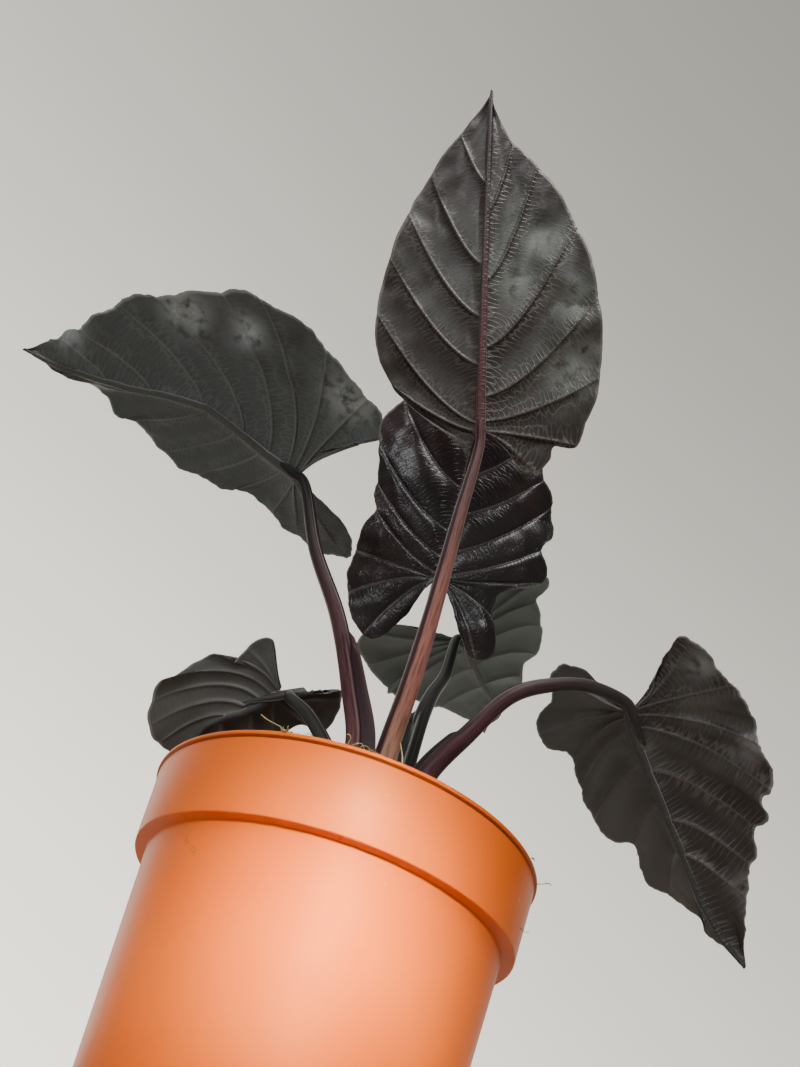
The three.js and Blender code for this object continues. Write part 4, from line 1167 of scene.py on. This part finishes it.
fibres = {
    "sides": 6, "step": 0.5,
    "strands": [          # thickness, how pale (0 to 1), places along it
        (0.36, 0.8, [(-34.9, -65.4, 127.6), (-32.2, -64.6, 127.0), (-28.5, -64.4, 126.4),
                     (-25.6, -64.2, 125.6), (-22.8, -64.4, 125.2)]),
        (0.32, 0.55, [(-7.1, -68.6, 124.9), (-6.6, -69.6, 126.0), (-6.6, -70.6, 126.9), (-7.7, -71.0, 127.3),
                      (-8.5, -70.7, 126.8)]),
        (0.3, 0.6, [(-5.9, -67.7, 124.9), (-4.9, -68.9, 126.0), (-3.0, -69.3, 126.6), (-1.4, -68.5, 125.2)]),
        (0.26, 0.5, [(-3.6, -68.5, 125.0), (-2.4, -69.6, 125.9), (-0.9, -69.2, 126.3), (0.3, -67.9, 125.4)]),
        (0.4, 0.35, [(-1.0, -68.4, 125.0), (0.1, -69.2, 125.6), (2.4, -68.8, 125.5), (3.9, -67.6, 125.0)]),
        (0.55, 0.95, [(10.2, -68.9, 124.2), (9.7, -70.2, 126.0), (8.6, -72.0, 127.6), (7.8, -73.0, 128.8)]),
        (0.42, 0.2, [(65.6, -18.6, 124.8), (68.4, -19.4, 125.5), (69.6, -19.9, 125.7)]),
        (0.5, 0.9, [(69.2, -19.8, 125.6), (70.4, -20.2, 126.1), (71.3, -20.0, 126.2), (72.1, -19.6, 125.7)]),
        (0.24, 0.1, [(60.9, -28.6, 106.2), (63.0, -27.8, 105.6), (64.0, -27.9, 105.7),
                     (64.5, -28.3, 106.3)]),
        (0.7, 0.7, [(59.6, -36.6, 125.0), (60.4, -37.0, 124.9), (60.9, -36.9, 124.2)]),
        (0.4, 0.8, [(-17.6, -67.4, 125.0), (-18.9, -67.2, 125.5), (-20.4, -66.7, 125.1)]),
    ],
    "tuft": {"place": (-24.6, -64.4, 125.3), "reach": (2.3, 1.1, 0.6), "count": 60, "length": 2.1,
             "thickness": 0.4},
    "loose": {"count": 60, "reach": 64, "limit": 65, "length": 11, "thickness": 0.42, "above": 0.5,
              "loft": 0.4},
    "darkColor": rgb(0.07, 0.04, 0.02), "paleColor": rgb(0.5, 0.42, 0.17),
}
bits = {
    "bark": {"count": 240, "size": (1.8, 5.2), "thin": (0.25, 0.5), "color": rgb(0.075, 0.042, 0.024),
             "otherColor": rgb(0.02, 0.013, 0.009)},
    "perlite": {"count": 46, "size": (1.1, 2.6), "thin": (0.75, 1.0), "color": rgb(0.72, 0.7, 0.66),
                "otherColor": rgb(0.45, 0.42, 0.37)},
    "reach": 64.5, "clearOfStalks": 6.5, "tilt": 0.35, "chip": 0.12, "uneven": 0.045, "lift": (0.22, 0.4),
}


def fibreMesh(points, thickness):
    _, length = smoothCurve(points, 50)
    path, _ = smoothCurve(points, max(5, round(length / fibres["step"])))
    mesh, *_ = tubeMesh("strand", path, lambda share, angle: thickness / 2 * (1 - 0.5 * share),
                        fibres["sides"])
    weldMesh(mesh, 0.001)
    return mesh


def curlyPoints(start, length):
    # A short chain of places that wanders sideways more than up
    heading = Vector((chance.gauss(0, 1), chance.gauss(0, 1), chance.gauss(0, 0.25))).normalized()
    points = [Vector(start)]
    for _ in range(4):
        turn = Vector((chance.gauss(0, 0.5), chance.gauss(0, 0.5), chance.gauss(0, 0.3)))
        heading = (heading + turn).normalized()
        points.append(points[-1] + heading * length / 4)
    return [tuple(point) for point in points]


def onSoil(x, y):
    return soilHeight(np.array(x), np.array(y)).item()


def makeFibres():
    strands = list(fibres["strands"])
    tuft = fibres["tuft"]
    for _ in range(tuft["count"]):
        start = [centre + chance.uniform(-1, 1) * reach
                 for centre, reach in zip(tuft["place"], tuft["reach"])]
        points = curlyPoints(start, tuft["length"] * chance.uniform(0.5, 1.1))
        strands.append((tuft["thickness"] * chance.uniform(0.6, 1.2), chance.uniform(0.45, 0.9),
                        [(x, y, start[2] + (z - start[2]) * 0.5) for x, y, z in points]))
    loose = fibres["loose"]
    for _ in range(loose["count"]):
        angle, reach = chance.uniform(0, 2 * math.pi), loose["reach"] * math.sqrt(chance.random())
        points = curlyPoints((reach * math.cos(angle), reach * math.sin(angle), 0),
                             loose["length"] * chance.uniform(0.4, 1.1))
        laid = []
        for x, y, z in points:
            shrink = min(1, loose["limit"] / max(1, math.hypot(x, y)))
            x, y = x * shrink, y * shrink
            laid.append((x, y, onSoil(x, y) + loose["above"] + loose["loft"] * z))
        strands.append((loose["thickness"] * chance.uniform(0.5, 1.1), chance.uniform(0.1, 0.8), laid))
    bm = bmesh.new()
    paleness = []
    for thickness, pale, points in strands:
        mesh = fibreMesh(points, thickness)
        paleness += [pale] * len(mesh.vertices)
        bm.from_mesh(mesh)
        bpy.data.meshes.remove(mesh)
    paint = startMaterial("mossFibre", 0.7, 0.3)
    paint.set("Base Color", paint.mix(paint.read("pale"), fibres["darkColor"], fibres["paleColor"]))
    piece = addPiece("mossFibres", meshFrom(bm, "mossFibres"), [paint.owner])
    setAttribute(piece.data, "pale", paleness)


def makeBits(name, plan, rounded):
    feet = [leaf["stalk"][0][:2] for leaf in leaves]
    bm = bmesh.new()
    made = 0
    while made < plan["count"]:
        angle, reach = chance.uniform(0, 2 * math.pi), bits["reach"] * math.sqrt(chance.random())
        x, y = reach * math.cos(angle), reach * math.sin(angle)
        if min(math.hypot(x - a, y - b) for a, b in feet) < bits["clearOfStalks"]:
            continue
        size = chance.uniform(*plan["size"])
        turn = Matrix.Rotation(chance.gauss(0, bits["tilt"]), 4, "X")
        turn = turn @ Matrix.Rotation(chance.gauss(0, bits["tilt"]), 4, "Y")
        turn = turn @ Matrix.Rotation(chance.uniform(0, 6.28), 4, "Z")
        thin = chance.uniform(*plan["thin"])
        shape = Matrix.Diagonal((size, size * chance.uniform(0.5, 0.9), size * thin, 1))
        height = onSoil(x, y) + bits["lift"][0] * size * thin + bits["lift"][1]
        place = Matrix.Translation((x, y, height))
        matrix = Matrix.Scale(mm, 4) @ place @ turn @ shape
        if rounded:
            corners = bmesh.ops.create_icosphere(bm, subdivisions=2, radius=0.5, matrix=matrix)["verts"]
        else:
            corners = bmesh.ops.create_cube(bm, size=1.0, matrix=matrix)["verts"]
            edges = list({edge for corner in corners for edge in corner.link_edges})
            corners = bmesh.ops.bevel(bm, geom=edges, offset=bits["chip"] * size * thin * mm, segments=1,
                                      affect="EDGES", profile=0.5, material=-1)["verts"]
        for corner in corners:
            corner.co += Vector([chance.gauss(0, bits["uneven"] * size * mm) for _ in range(3)])
        made += 1
    paint = startMaterial(name + "Skin", 0.9, 0.25)
    grain = paint.noiseAt(paint.place(), 420, 4, 0.7)
    paint.set("Base Color", paint.mix(paint.ramp(grain, 0.35, 0.65), plan["color"], plan["otherColor"]))
    paint.bump(grain, 0.0005, 0.8)
    piece = addPiece(name, meshFrom(bm, name), [paint.owner])
    piece.data.polygons.foreach_set("use_smooth", [rounded] * len(piece.data.polygons))


makeFibres()
makeBits("barkBits", bits["bark"], False)
makeBits("perliteGrains", bits["perlite"], True)
print("fibres and bits made")
